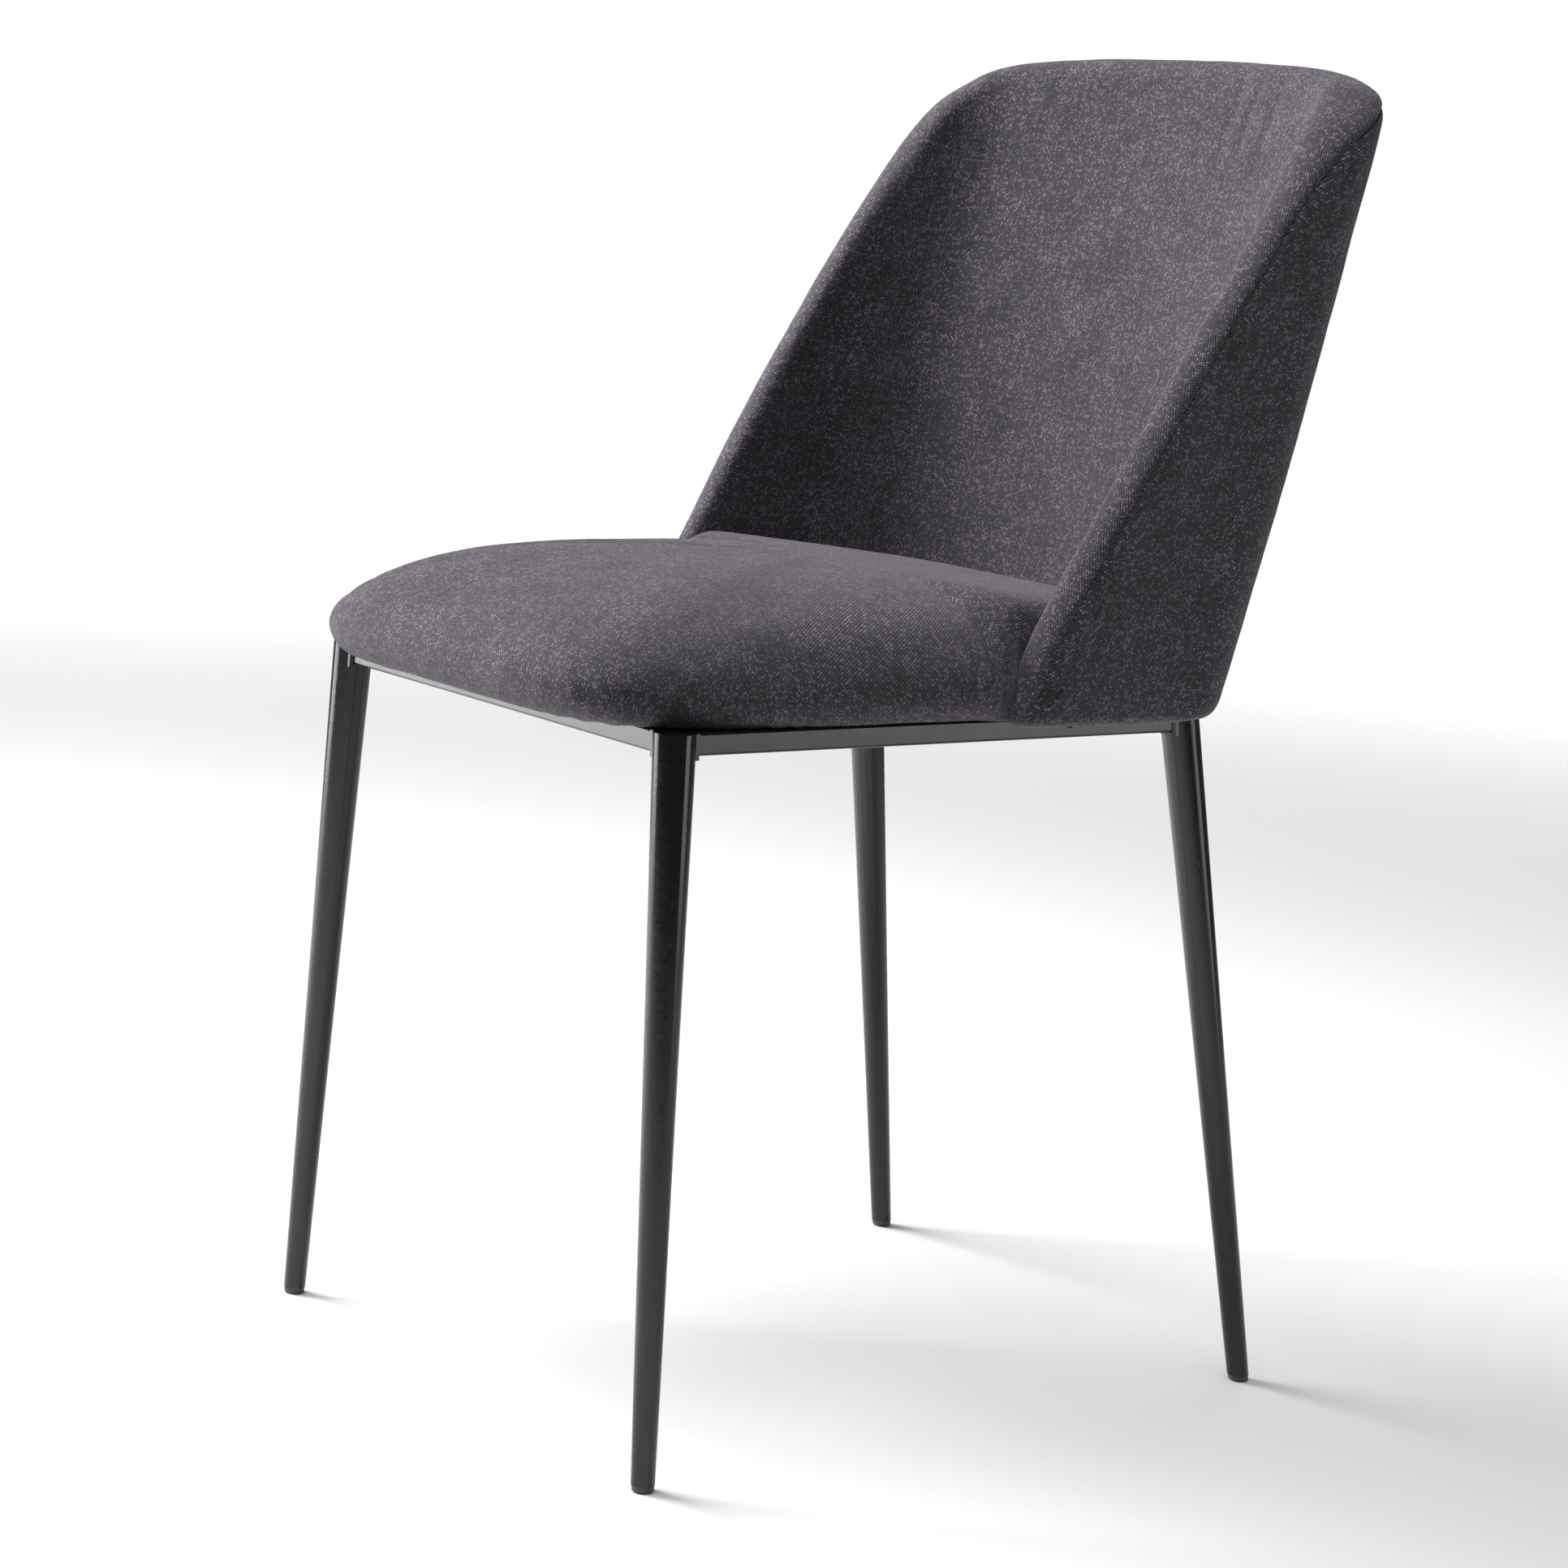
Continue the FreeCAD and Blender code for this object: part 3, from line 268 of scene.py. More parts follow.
def woven(name, dark, light, fleck, sheen):
    """A twill with flecks and slubs. The three colours are the thread in painted shade, its crest with a painted
    highlight, and the fleck.
    """
    cloth, shader = new_material(name, Roughness=0.92, IOR=1.45)
    shader.inputs["Sheen Weight"].default_value = sheen
    shader.inputs["Sheen Roughness"].default_value = 0.45
    shader.inputs["Sheen Tint"].default_value = linear("#d9d0dc")
    along = add_node(cloth, "ShaderNodeUVMap", uv_map="cloth").outputs["UV"]
    wobble = add_node(cloth, "ShaderNodeTexNoise", {"Vector": along}, Scale=220.0, Detail=2.0)
    shake = add_node(cloth, "ShaderNodeVectorMath", {0: wobble.outputs["Color"]}, operation="SUBTRACT")
    shake.inputs[1].default_value = (0.5, 0.5, 0.5)
    scaled = add_node(cloth, "ShaderNodeVectorMath", {0: shake.outputs[0]}, operation="SCALE")
    scaled.inputs["Scale"].default_value = 0.9 * MM
    moved = add_node(cloth, "ShaderNodeVectorMath", {0: along, 1: scaled.outputs[0]}, operation="ADD")
    threads = add_node(cloth, "ShaderNodeVectorMath", {0: moved.outputs[0]}, operation="SCALE")
    threads.inputs["Scale"].default_value = 1 / THREAD
    split = add_node(cloth, "ShaderNodeSeparateXYZ", {0: threads.outputs[0]})
    total = add_node(cloth, "ShaderNodeMath", {0: split.outputs["X"], 1: split.outputs["Y"]}, operation="ADD")
    differ = add_node(cloth, "ShaderNodeMath", {0: split.outputs["X"], 1: split.outputs["Y"]},
                      operation="SUBTRACT")
    waves = []
    for source in (total, differ):
        turned = add_node(cloth, "ShaderNodeMath", {0: source.outputs[0]}, operation="MULTIPLY")
        turned.inputs[1].default_value = math.pi
        wave = add_node(cloth, "ShaderNodeMath", {0: turned.outputs[0]}, operation="SINE")
        waves.append(add_node(cloth, "ShaderNodeMath", {0: wave.outputs[0]}, operation="ABSOLUTE"))
    crossing = add_node(cloth, "ShaderNodeMath", {0: waves[0].outputs[0], 1: waves[1].outputs[0]},
                        operation="MULTIPLY")
    row = add_node(cloth, "ShaderNodeMath", {0: waves[0].outputs[0]}, operation="MULTIPLY")
    row.inputs[1].default_value = 0.45
    height = add_node(cloth, "ShaderNodeMath", {0: crossing.outputs[0], 1: row.outputs[0]}, operation="ADD")
    cell = add_node(cloth, "ShaderNodeCombineXYZ", {
        "X": add_node(cloth, "ShaderNodeMath", {0: total.outputs[0]}, operation="FLOOR").outputs[0],
        "Y": add_node(cloth, "ShaderNodeMath", {0: differ.outputs[0]}, operation="FLOOR").outputs[0],
    })
    chance = add_node(cloth, "ShaderNodeTexWhiteNoise", {"Vector": cell.outputs[0]}, noise_dimensions="2D")
    pale = add_node(cloth, "ShaderNodeMapRange", {"Value": chance.outputs["Value"]},
                    From_Min=0.55, From_Max=1.0, To_Min=0.0, To_Max=1.0)
    fibre = add_node(cloth, "ShaderNodeMath", {0: pale.outputs[0], 1: crossing.outputs[0]}, operation="MULTIPLY")
    # Painted highlight and shade: the thread's colour runs from dark in the hollows to light on the raised
    # crossings.
    tint = add_node(cloth, "ShaderNodeValToRGB", {"Fac": height.outputs[0]})
    tint.color_ramp.elements[0].color = linear(dark)
    tint.color_ramp.elements[0].position = 0.15
    tint.color_ramp.elements[1].color = linear(light)
    tint.color_ramp.elements[1].position = 1.2 / 1.45
    flecked = add_node(cloth, "ShaderNodeMix", {"Factor": fibre.outputs[0]}, data_type="RGBA")
    cloth.node_tree.links.new(tint.outputs["Color"], flecked.inputs["A"])
    flecked.inputs["B"].default_value = linear(fleck)
    slubs = []
    for stretch in ((1 / SLUB, 1 / (1.6 * THREAD), 1.0), (1 / (1.6 * THREAD), 1 / SLUB, 1.0)):
        mapped = add_node(cloth, "ShaderNodeMapping", {"Vector": along}, Scale=stretch)
        slubs.append(add_node(cloth, "ShaderNodeTexNoise", {"Vector": mapped.outputs["Vector"]},
                              Scale=1.0, Detail=2.0))
    patch = add_node(cloth, "ShaderNodeTexNoise", {"Vector": along}, Scale=28.0, Detail=3.0)
    uneven = add_node(cloth, "ShaderNodeMath", {0: slubs[0].outputs["Fac"], 1: slubs[1].outputs["Fac"]},
                      operation="ADD")
    uneven = add_node(cloth, "ShaderNodeMath", {0: uneven.outputs[0], 1: patch.outputs["Fac"]}, operation="ADD")
    shade = add_node(cloth, "ShaderNodeMapRange", {"Value": uneven.outputs[0]},
                     From_Min=1.05, From_Max=1.95, To_Min=0.45, To_Max=1.55)
    painted = add_node(cloth, "ShaderNodeVectorMath", operation="SCALE")
    cloth.node_tree.links.new(flecked.outputs["Result"], painted.inputs[0])
    cloth.node_tree.links.new(shade.outputs["Result"], painted.inputs["Scale"])
    link_to(cloth, shader, "Base Color", painted.outputs[0])
    bump = add_node(cloth, "ShaderNodeBump", {"Height": height.outputs[0]}, Strength=0.7, Distance=0.35 * MM)
    link_to(cloth, shader, "Normal", bump.outputs["Normal"])
    return cloth


# 09080a is the thread in painted shade, #37333a its crest with a painted highlight.
charcoal_weave = woven("woven_charcoal_polyester", "#09080a", "#37333a", "#857c88", 0.35)
print("fabric drawn with", round(1 / THREAD), "threads to the metre")


# %% [markdown]
# The dust cover under the seat is spunbonded polypropylene, a thin black felt-like sheet pressed
# with a fine dot pattern about a millimetre apart.

# %% Spunbonded dust cloth
dust_cloth, shader = new_material("spunbonded_black_polypropylene", Roughness=0.85, IOR=1.49)
place = add_node(dust_cloth, "ShaderNodeTexCoord").outputs["Object"]
dots = add_node(dust_cloth, "ShaderNodeTexVoronoi", {"Vector": place}, Scale=1 / (1.2 * MM))
tint = add_node(dust_cloth, "ShaderNodeValToRGB", {"Fac": dots.outputs["Distance"]})
tint.color_ramp.elements[0].color = linear("#0d0d0f")
tint.color_ramp.elements[1].color = linear("#26262a")
link_to(dust_cloth, shader, "Base Color", tint.outputs["Color"])
bump = add_node(dust_cloth, "ShaderNodeBump", {"Height": dots.outputs["Distance"]},
                Strength=0.4, Distance=0.2 * MM)
link_to(dust_cloth, shader, "Normal", bump.outputs["Normal"])


# %% [markdown]
# The studio floor is matt white paint. It is opaque round the chair, where it takes the shadow, and
# thins out to nothing by 3.4 metres, so that it runs into the white paper behind with no edge.

# %% Pale floor paint
FLOOR_SOLID, FLOOR_END = 1.5, 3.4
floor_paint, shader = new_material("pale_floor_paint", Roughness=0.7)
place = add_node(floor_paint, "ShaderNodeTexCoord").outputs["Object"]
mottle = add_node(floor_paint, "ShaderNodeTexNoise", {"Vector": place}, Scale=2.0, Detail=2.0)
tint = add_node(floor_paint, "ShaderNodeValToRGB", {"Fac": mottle.outputs["Fac"]})
tint.color_ramp.elements[0].color = linear("#fafafa")
tint.color_ramp.elements[1].color = linear("#ffffff")
link_to(floor_paint, shader, "Base Color", tint.outputs["Color"])
away = add_node(floor_paint, "ShaderNodeVectorMath", {0: place}, operation="LENGTH")
solid = add_node(floor_paint, "ShaderNodeMapRange", {"Value": away.outputs["Value"]},
                 From_Min=FLOOR_SOLID, From_Max=FLOOR_END, To_Min=1.0, To_Max=0.0)
link_to(floor_paint, shader, "Alpha", solid.outputs["Result"])
dress(floor, floor_paint)


# %% Put the finishes on the CAD nodes that stay
FINISHES = {
    "black_paint": black_coat,
    "glide_plastic": glide_plastic,
    "zinc_steel": zinc,
    "plywood": birch,
}
for name, node in nodes.items():
    for material_slot in node.material_slots:
        wanted = material_slot.material.name.split(".")[0]
        if wanted in FINISHES:
            material_slot.material = FINISHES[wanted]


# %% [markdown]
# The seat is a foam cushion on a plywood board, with fabric pulled over it and stapled under the
# board. Seen from above its outline is a rounded rectangle that narrows where it slips between the
# wings of the back. Its top is crowned and its front edge rounds over and hangs past the front
# rail. It is made as rings round a middle point, each with its own height. A cloth simulation could
# swell a plainer block instead. Here the crown's curve is known, so it is drawn directly.

# %% Outline of the seat
SEAT_HALF = 192.5 * MM       # widest, ahead of the wings
SEAT_FRONT = -292.5 * MM
SEAT_MIDDLE = -8.4 * MM      # the rings' middle point, on the centre line
SEAT_SQUARENESS = 5.2
SEAT_WIDEST = 452.5 * MM     # level where the outline is largest
SEAT_CROWN = 510.5 * MM
SEAT_JUNCTION = 495.5 * MM   # where the top meets the back
rear_outline = [(192.3, -8.4), (190.5, -4.0), (185.5, 4.0), (182.5, 20.0), (180.5, 40.0), (176.0, 62.0),
                (168.5, 88.0), (157.0, 112.0), (141.0, 132.0), (118.0, 148.0), (88.0, 157.5),
                (54.0, 162.5), (27.0, 164.5), (0.0, 165.2)]


def spline(points, count):
    """A smooth open curve through the points: Catmull-Rom, resampled evenly by its length."""
    points = np.array(points, float)
    padded = np.vstack([2 * points[0] - points[1], points, 2 * points[-1] - points[-2]])
    fine = []
    for i in range(len(points) - 1):
        before, start, end, after = padded[i:i + 4]
        for t in np.linspace(0, 1, 24, endpoint=False):
            fine.append(0.5 * (2 * start + (end - before) * t
                               + (2 * before - 5 * start + 4 * end - after) * t * t
                               + (3 * start - before - 3 * end + after) * t ** 3))
    fine.append(points[-1])
    fine = np.array(fine)
    steps = np.concatenate([[0], np.cumsum(np.linalg.norm(np.diff(fine, axis=0), axis=1))])
    wanted = np.linspace(0, steps[-1], count)
    return np.column_stack([np.interp(wanted, steps, fine[:, k]) for k in range(fine.shape[1])])


def seat_outline():
    """The right half's outline from the front middle to the rear middle, in metres."""
    front = []
    for angle in np.linspace(-math.pi / 2, 0, 80)[:-1]:
        x = SEAT_HALF * abs(math.cos(angle)) ** (2 / SEAT_SQUARENESS)
        y = SEAT_MIDDLE + (SEAT_MIDDLE - SEAT_FRONT) * -abs(math.sin(angle)) ** (2 / SEAT_SQUARENESS)
        front.append((x, y))
    rear = spline([(x * MM, y * MM) for x, y in rear_outline], 80)
    return np.vstack([front, rear])


SEAT_SIDE = 44               # quads along half of the seat's front or rear, and along its side
half = seat_outline()
steps = np.concatenate([[0], np.cumsum(np.linalg.norm(np.diff(half, axis=0), axis=1))])


def outline_at(share):
    """The outline's point at a share of its length from the front middle to the rear middle."""
    wanted = share * steps[-1]
    return np.array([np.interp(wanted, steps, half[:, 0]), np.interp(wanted, steps, half[:, 1])])


print("seat outline, half its length:", round(steps[-1], 3))


# %% Rings of the seat
def smooth_step(low, high, value):
    t = np.clip((value - low) / (high - low), 0, 1)
    return t * t * (3 - 2 * t)


def loop_shares(quads):
    """Shares round the outline for a square ring of 8 * quads points, from the front middle."""
    front_corner, rear_corner = 0.235, 0.80
    first = np.linspace(0, front_corner, quads + 1)[:-1]
    side = np.linspace(front_corner, rear_corner, 2 * quads + 1)[:-1]
    last = np.linspace(rear_corner, 1.0, quads + 1)
    right = np.concatenate([first, side, last])
    return right


right_shares = loop_shares(SEAT_SIDE)
right_loop = np.array([outline_at(share) for share in right_shares])
left_loop = right_loop[-2:0:-1] * np.array([-1, 1])
seat_loop = np.vstack([right_loop, left_loop])
seat_middle = np.array([0, SEAT_MIDDLE])
print("seat ring has", len(seat_loop), "points")


def seat_top_level(x, y):
    """The cushion's top level before its edge rounds off: highest in the middle, lower at the back."""
    drop = (SEAT_CROWN - SEAT_JUNCTION) * smooth_step(-60 * MM, 175 * MM, y)
    return SEAT_CROWN - drop


def seat_upper(share, edge):
    """A point of the seat's top: share of the way from the middle point to the outline's point."""
    point = seat_middle + (edge - seat_middle) * share
    rear = smooth_step(-18 * MM, 22 * MM, edge[1])
    power = 4.0 + 14.0 * rear
    root = 1.53 + 0.4 * rear
    rise = max(0.0, 1 - share ** power) ** (1 / root)
    level = SEAT_WIDEST + (seat_top_level(*point) - SEAT_WIDEST) * rise
    return (point[0], point[1], level)


TUCK_DEPTH = 20.3 * MM       # from the widest level down to the underside
TUCK_INSET = 19.0 * MM


def seat_lower(turn, edge):
    """A point of the edge that turns under: turn from 0 at the widest level to 1 underneath."""
    reach = np.linalg.norm(edge - seat_middle)
    rear = smooth_step(-25 * MM, 5 * MM, edge[1])
    inset = TUCK_INSET * (1 - math.cos(turn * math.pi / 2)) * (1 - 0.6 * rear)
    point = seat_middle + (edge - seat_middle) * (1 - inset / reach)
    return (point[0], point[1], SEAT_WIDEST - TUCK_DEPTH * math.sin(turn * math.pi / 2))


UPPER_RINGS = 40
LOWER_RINGS = 9
seat_rings = []
for ring in range(1, UPPER_RINGS + 1):
    share = 1 - (1 - ring / UPPER_RINGS) ** 1.9
    seat_rings.append([seat_upper(share, edge) for edge in seat_loop])
for ring in range(1, LOWER_RINGS + 1):
    seat_rings.append([seat_lower(ring / LOWER_RINGS, edge) for edge in seat_loop])
under_loop = np.array(seat_rings[-1])
UNDER_LEVEL = float(under_loop[:, 2].mean())


# %% [markdown]
# The rings would meet in one point with hundreds of thin faces, and cloth pinches there. So the
# innermost ring is filled with a square grid instead, which meets it edge to edge.

# %% Mesh of the seat
def coons(loop, quads_u, quads_v):
    """A grid of points inside a closed loop, by blending its four sides (a Coons patch)."""
    loop = np.asarray(loop, float)
    turn = quads_u // 2
    loop = np.roll(loop, turn, axis=0)
    bottom = loop[:quads_u + 1]
    side_a = loop[quads_u:quads_u + quads_v + 1]
    top = loop[quads_u + quads_v:2 * quads_u + quads_v + 1][::-1]
    side_b = np.vstack([loop[2 * quads_u + quads_v:], loop[:1]])[::-1]
    u = np.linspace(0, 1, quads_u + 1)[:, None, None]
    v = np.linspace(0, 1, quads_v + 1)[None, :, None]
    flat = (1 - v) * bottom[:, None] + v * top[:, None] + (1 - u) * side_b[None] + u * side_a[None]
    corner = ((1 - u) * (1 - v) * bottom[0] + u * (1 - v) * bottom[-1]
              + (1 - u) * v * top[0] + u * v * top[-1])
    return flat - corner


def grid_faces(index, flip=False):
    """Quads of a grid of vertex numbers."""
    faces = []
    for i in range(index.shape[0] - 1):
        for j in range(index.shape[1] - 1):
            quad = [index[i, j], index[i + 1, j], index[i + 1, j + 1], index[i, j + 1]]
            faces.append(quad[::-1] if flip else quad)
    return faces


def loop_of_grid(quads_u, quads_v):
    """Where each loop point sits in the grid, in the order that coons() takes them."""
    places = [(i, 0) for i in range(quads_u)]
    places += [(quads_u, j) for j in range(quads_v)]
    places += [(i, quads_v) for i in range(quads_u, 0, -1)]
    places += [(0, j) for j in range(quads_v, 0, -1)]
    turn = quads_u // 2
    return places[turn:] + places[:turn]


def capped_rings(rings, quads_u, quads_v, cap_start, cap_end):
    """Vertices and faces of stacked rings whose first and last are filled by the two grids."""
    verts = [tuple(p) for ring in rings for p in ring]
    count = len(rings[0])
    faces = []
    for r in range(len(rings) - 1):
        for k in range(count):
            n = (k + 1) % count
            faces.append([r * count + k, (r + 1) * count + k, (r + 1) * count + n, r * count + n])
    for first, grid, flip in ((0, cap_start, False), ((len(rings) - 1) * count, cap_end, True)):
        index = np.zeros(grid.shape[:2], int)
        for k, (i, j) in enumerate(loop_of_grid(quads_u, quads_v)):
            index[i, j] = first + k
        for i in range(1, quads_u):
            for j in range(1, quads_v):
                index[i, j] = len(verts)
                verts.append(tuple(grid[i, j]))
        faces += grid_faces(index, flip)
    return verts, faces


def new_piece(name, verts, faces):
    """A mesh object in the scene, with its faces smooth and turned outwards."""
    mesh = bpy.data.meshes.new(name)
    mesh.from_pydata([tuple(map(float, v)) for v in verts], [], [list(map(int, f)) for f in faces])
    mesh.validate()
    build = bmesh.new()
    build.from_mesh(mesh)
    bmesh.ops.recalc_face_normals(build, faces=build.faces)
    build.to_mesh(mesh)
    build.free()
    mesh.polygons.foreach_set("use_smooth", [True] * len(mesh.polygons))
    piece = bpy.data.objects.new(name, mesh)
    bpy.context.scene.collection.objects.link(piece)
    return piece


quads = 2 * SEAT_SIDE
inner_grid = coons(seat_rings[0], quads, quads)
for i in range(1, quads):
    for j in range(1, quads):
        x, y = inner_grid[i, j, :2]
        inner_grid[i, j, 2] = seat_top_level(x, y)
under_grid = coons(seat_rings[-1], quads, quads)
HEM_QUADS = 6
UNDER_BOARD = 435.2 * MM
for i in range(1, quads):
    for j in range(1, quads):
        rise = smooth_step(0, HEM_QUADS, min(i, j, quads - i, quads - j))
        under_grid[i, j, 2] = UNDER_LEVEL + (UNDER_BOARD - UNDER_LEVEL) * rise
verts, faces = capped_rings(seat_rings, quads, quads, inner_grid, under_grid)
seat = new_piece("seat_cushion", verts, faces)
print("seat cushion:", len(seat.data.polygons), "faces")


# %% [markdown]
# A UV map in metres of cloth, laid as the upholsterer lays the fabric: flat on the top, then on
# down each side square to the edge. The weave follows this map, so it turns with the cloth.

# %% Cloth map of the seat
def add_cloth_map(piece, places):
    """Stores one (u, v) in metres for each vertex as the UV map that the weave follows."""
    layer = piece.data.uv_layers.new(name="cloth")
    corners = np.zeros(len(piece.data.loops), int)
    piece.data.loops.foreach_get("vertex_index", corners)
    layer.data.foreach_set("uv", np.asarray(places, np.float32)[corners].ravel())


def outward_normals(loop):
    """Unit normals of a closed loop in the plane, pointing out of it."""
    ahead = np.roll(loop, -3, axis=0) - np.roll(loop, 3, axis=0)
    out = np.column_stack([ahead[:, 1], -ahead[:, 0]])
    return out / np.linalg.norm(out, axis=1)[:, None]


def ring_cloth_places(rings, flat_places, out):
    """Each ring's place on the cloth: its flat place, moved out by the cloth that its slope takes up."""
    places = [flat_places[0]]
    extra = np.zeros(len(out))
    for before, ring, flat_before, flat in zip(rings, rings[1:], flat_places, flat_places[1:]):
        step = np.linalg.norm(np.asarray(ring) - np.asarray(before), axis=1)
        level_step = ((flat - flat_before) * out).sum(axis=1)
        extra = extra + step - level_step
        places.append(flat + out * extra[:, None])
    return places


flat_rings = [np.asarray(ring)[:, :2] for ring in seat_rings]
seat_places = ring_cloth_places(seat_rings, flat_rings, outward_normals(seat_loop))
every_place = np.vstack(seat_places)
coordinates = np.array([vertex.co[:] for vertex in seat.data.vertices])
seat_map = coordinates[:, :2].copy()
seat_map[:len(every_place)] = every_place
add_cloth_map(seat, seat_map)


# %% [markdown]
# A soft piece is finished in the same few steps: one smoothing subdivision, the fabric, the slot.

# %% Finish of the soft pieces
def finish_soft(piece, body="root"):
    """One subdivision, applied, then the fabric. The body argument is not used."""
    make_active(piece)
    smooth = piece.modifiers.new("subdivide", "SUBSURF")
    smooth.levels = smooth.render_levels = 1
    bpy.ops.object.modifier_apply(modifier=smooth.name)
    dress(piece, charcoal_weave)


# %% [markdown]
# Cloth over foam is never quite even. Slow waves of about half a millimetre, and the few creases
# where it is pulled, are added as small moves along the normals.

# %% Uneven stuffing and creases
def uneven(piece, depth, seed, creases=()):
    """Moves each point along its normal: slow waves of a depth, and creases given by functions."""
    places = [(vertex.co.copy(), vertex.normal.copy()) for vertex in piece.data.vertices]
    moved = []
    for point, normal in places:
        slow = noise.noise(point * 24.0 + Vector((seed, 0, 0)))
        quick = noise.noise(point * 75.0 + Vector((0, seed, 0)))
        move = depth * (slow + 0.35 * quick)
        for crease in creases:
            move += crease(point)
        moved.append(point + normal * move)
    piece.data.vertices.foreach_set("co", np.array(moved, np.float32).ravel())
    piece.data.update()


def corner_pulls(point):
    """Curved pull lines round the front corners, where the cloth is gathered under the board."""
    total = 0.0
    for side in (-1, 1):
        away = math.hypot(point.x - side * 0.150, point.y + 0.215)
        near = math.exp(-((away - 0.050) / 0.030) ** 2) * smooth_step(0.505, 0.455, point.z)
        total += 0.45 * MM * near * math.sin(away * 2 * math.pi / 0.013)
    return total


def side_dimples(point):
    """Soft dimples low on the sides and the front, between the staples."""
    low = math.exp(-((point.z - 0.446) / 0.008) ** 2)
    return 0.5 * MM * low * noise.noise(Vector((point.x * 30, point.y * 30, 3.0)))


def top_pulls(point):
    """Short upright creases under the top edge, where the front panel is eased round the corner."""
    total = 0.0
    for x, width, deep in ((0.060, 0.005, 0.9), (0.078, 0.004, 0.7), (0.104, 0.005, 0.8), (-0.110, 0.006, 0.5)):
        drift = x + 0.10 * (point.z - 0.80)
        fade = smooth_step(0.735, 0.800, point.z) * (1 - smooth_step(0.822, 0.834, point.z))
        total -= deep * MM * fade * math.exp(-((point.x - drift) / width) ** 2)
    return total


# %% Seat finished and declared
finish_soft(seat)
uneven(seat, 0.5 * MM, 3.0, (corner_pulls, side_dimples))
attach(seat, "root")
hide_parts("seat_foam", "seat_cover")


# %% [markdown]
# The back is a bent plywood shell with foam on both faces. Seen from above it is a C: a shallow
# curve behind the sitter, two round corners and two straight wings. It leans back, and its wings
# are cut off on a slant. The front cover flows over the rounded edge and meets the rear cover in a
# sewn seam, which pulls both down into a crease. The shape is drawn on the unrolled shell, with
# the distance round the C across and the height up, as a pattern cutter would, then wrapped.

# %% The C seen from above
BACK_LEAN = math.tan(math.radians(13.4))


def c_curve(half_width, rear, radius, corner, reach=-60 * MM):
    """The right half of a C in plan, from its middle to the wing's end: a fine line of points."""
    centre_y = rear - radius
    corner_x = half_width - corner
    corner_y = centre_y + math.sqrt((radius - corner) ** 2 - corner_x ** 2)
    turn = math.atan2(corner_x, corner_y - centre_y)
    arc = [(radius * math.sin(a), centre_y + radius * math.cos(a)) for a in np.linspace(0, turn, 200)]
    bend = [(corner_x + corner * math.sin(a), corner_y + corner * math.cos(a))
            for a in np.linspace(turn, math.pi / 2, 120)[1:]]
    wing = [(half_width, y) for y in np.linspace(corner_y, reach, 160)[1:]]
    return np.array(arc + bend + wing)


outer_c = c_curve(212.0 * MM, 195.1 * MM, 525.0 * MM, 42.0 * MM)
inner_c = c_curve(184.5 * MM, 151.0 * MM, 483.0 * MM, 65.0 * MM)
middle_c = c_curve(198.3 * MM, 173.0 * MM, 504.0 * MM, 53.5 * MM)


def where_line_meets(curve, point, direction):
    """How far along a direction from a point a plan curve is met, nearest first."""
    start, end = curve[:-1], curve[1:]
    edge = end - start
    cross = direction[0] * edge[:, 1] - direction[1] * edge[:, 0]
    cross = np.where(np.abs(cross) < 1e-12, 1e-12, cross)
    to_start = start - point
    along = (to_start[:, 0] * edge[:, 1] - to_start[:, 1] * edge[:, 0]) / cross
    share = (to_start[:, 0] * direction[1] - to_start[:, 1] * direction[0]) / cross
    met = along[(share >= -0.01) & (share <= 1.01) & (np.abs(along) < 0.08)]
    return met[np.argmin(np.abs(met))] if len(met) else 0.0


lengths = np.concatenate([[0], np.cumsum(np.linalg.norm(np.diff(middle_c, axis=0), axis=1))])
tangents = np.gradient(middle_c, axis=0)
tangents /= np.linalg.norm(tangents, axis=1)[:, None]
outs = np.column_stack([-tangents[:, 1], tangents[:, 0]])
outs[0] = (0.0, 1.0)
to_outer = np.array([where_line_meets(outer_c, p, n) for p, n in zip(middle_c, outs)])
to_inner = np.array([where_line_meets(inner_c, p, n) for p, n in zip(middle_c, outs)])
to_outer[0], to_inner[0] = to_outer[1], to_inner[1]
print("back thickness, middle and wing:", round((to_outer - to_inner)[0] / MM, 1),
      round((to_outer - to_inner)[-1] / MM, 1), "mm")


# %% From the unrolled shell to its place in space
BOW_LEVELS = np.array([433, 470, 500, 560, 620, 680, 740, 790, 840]) * MM
BOW_SHARES = np.array([0.970, 0.981, 0.987, 1.001, 1.009, 1.012, 1.010, 1.011, 1.013])


def shell_point(around, level, through):
    """A point of the shell: distance round the C, level, and 0 on its inner to 1 on its outer face."""
    side = -1.0 if around < 0 else 1.0
    along = abs(around)
    base = np.array([np.interp(along, lengths, middle_c[:, k]) for k in (0, 1)])
    out = np.array([np.interp(along, lengths, outs[:, k]) for k in (0, 1)])
    outer = np.interp(along, lengths, to_outer)
    inner = np.interp(along, lengths, to_inner)
    thinner = 0.24 * smooth_step(560 * MM, 830 * MM, level) * (1 - smooth_step(140 * MM, 250 * MM, along))
    inner = inner + (outer - inner) * thinner
    plan = base + out * (inner + (outer - inner) * through)
    bow = np.interp(level, BOW_LEVELS, BOW_SHARES)
    return (side * plan[0] * bow, plan[1] + BACK_LEAN * (level - RAIL_TOP), level)


def around_of(forward, level):
    """The distance round the C at which the middle line of a wing is at this Y."""
    y = forward - BACK_LEAN * (level - RAIL_TOP)
    return float(np.interp(-y, -middle_c[:, 1], lengths))


# %% [markdown]
# The edge of the shell on the unrolled pattern: the wing's slanting front edge, the round top
# corner and the nearly straight top. The wing is drawn by its Y at each level.

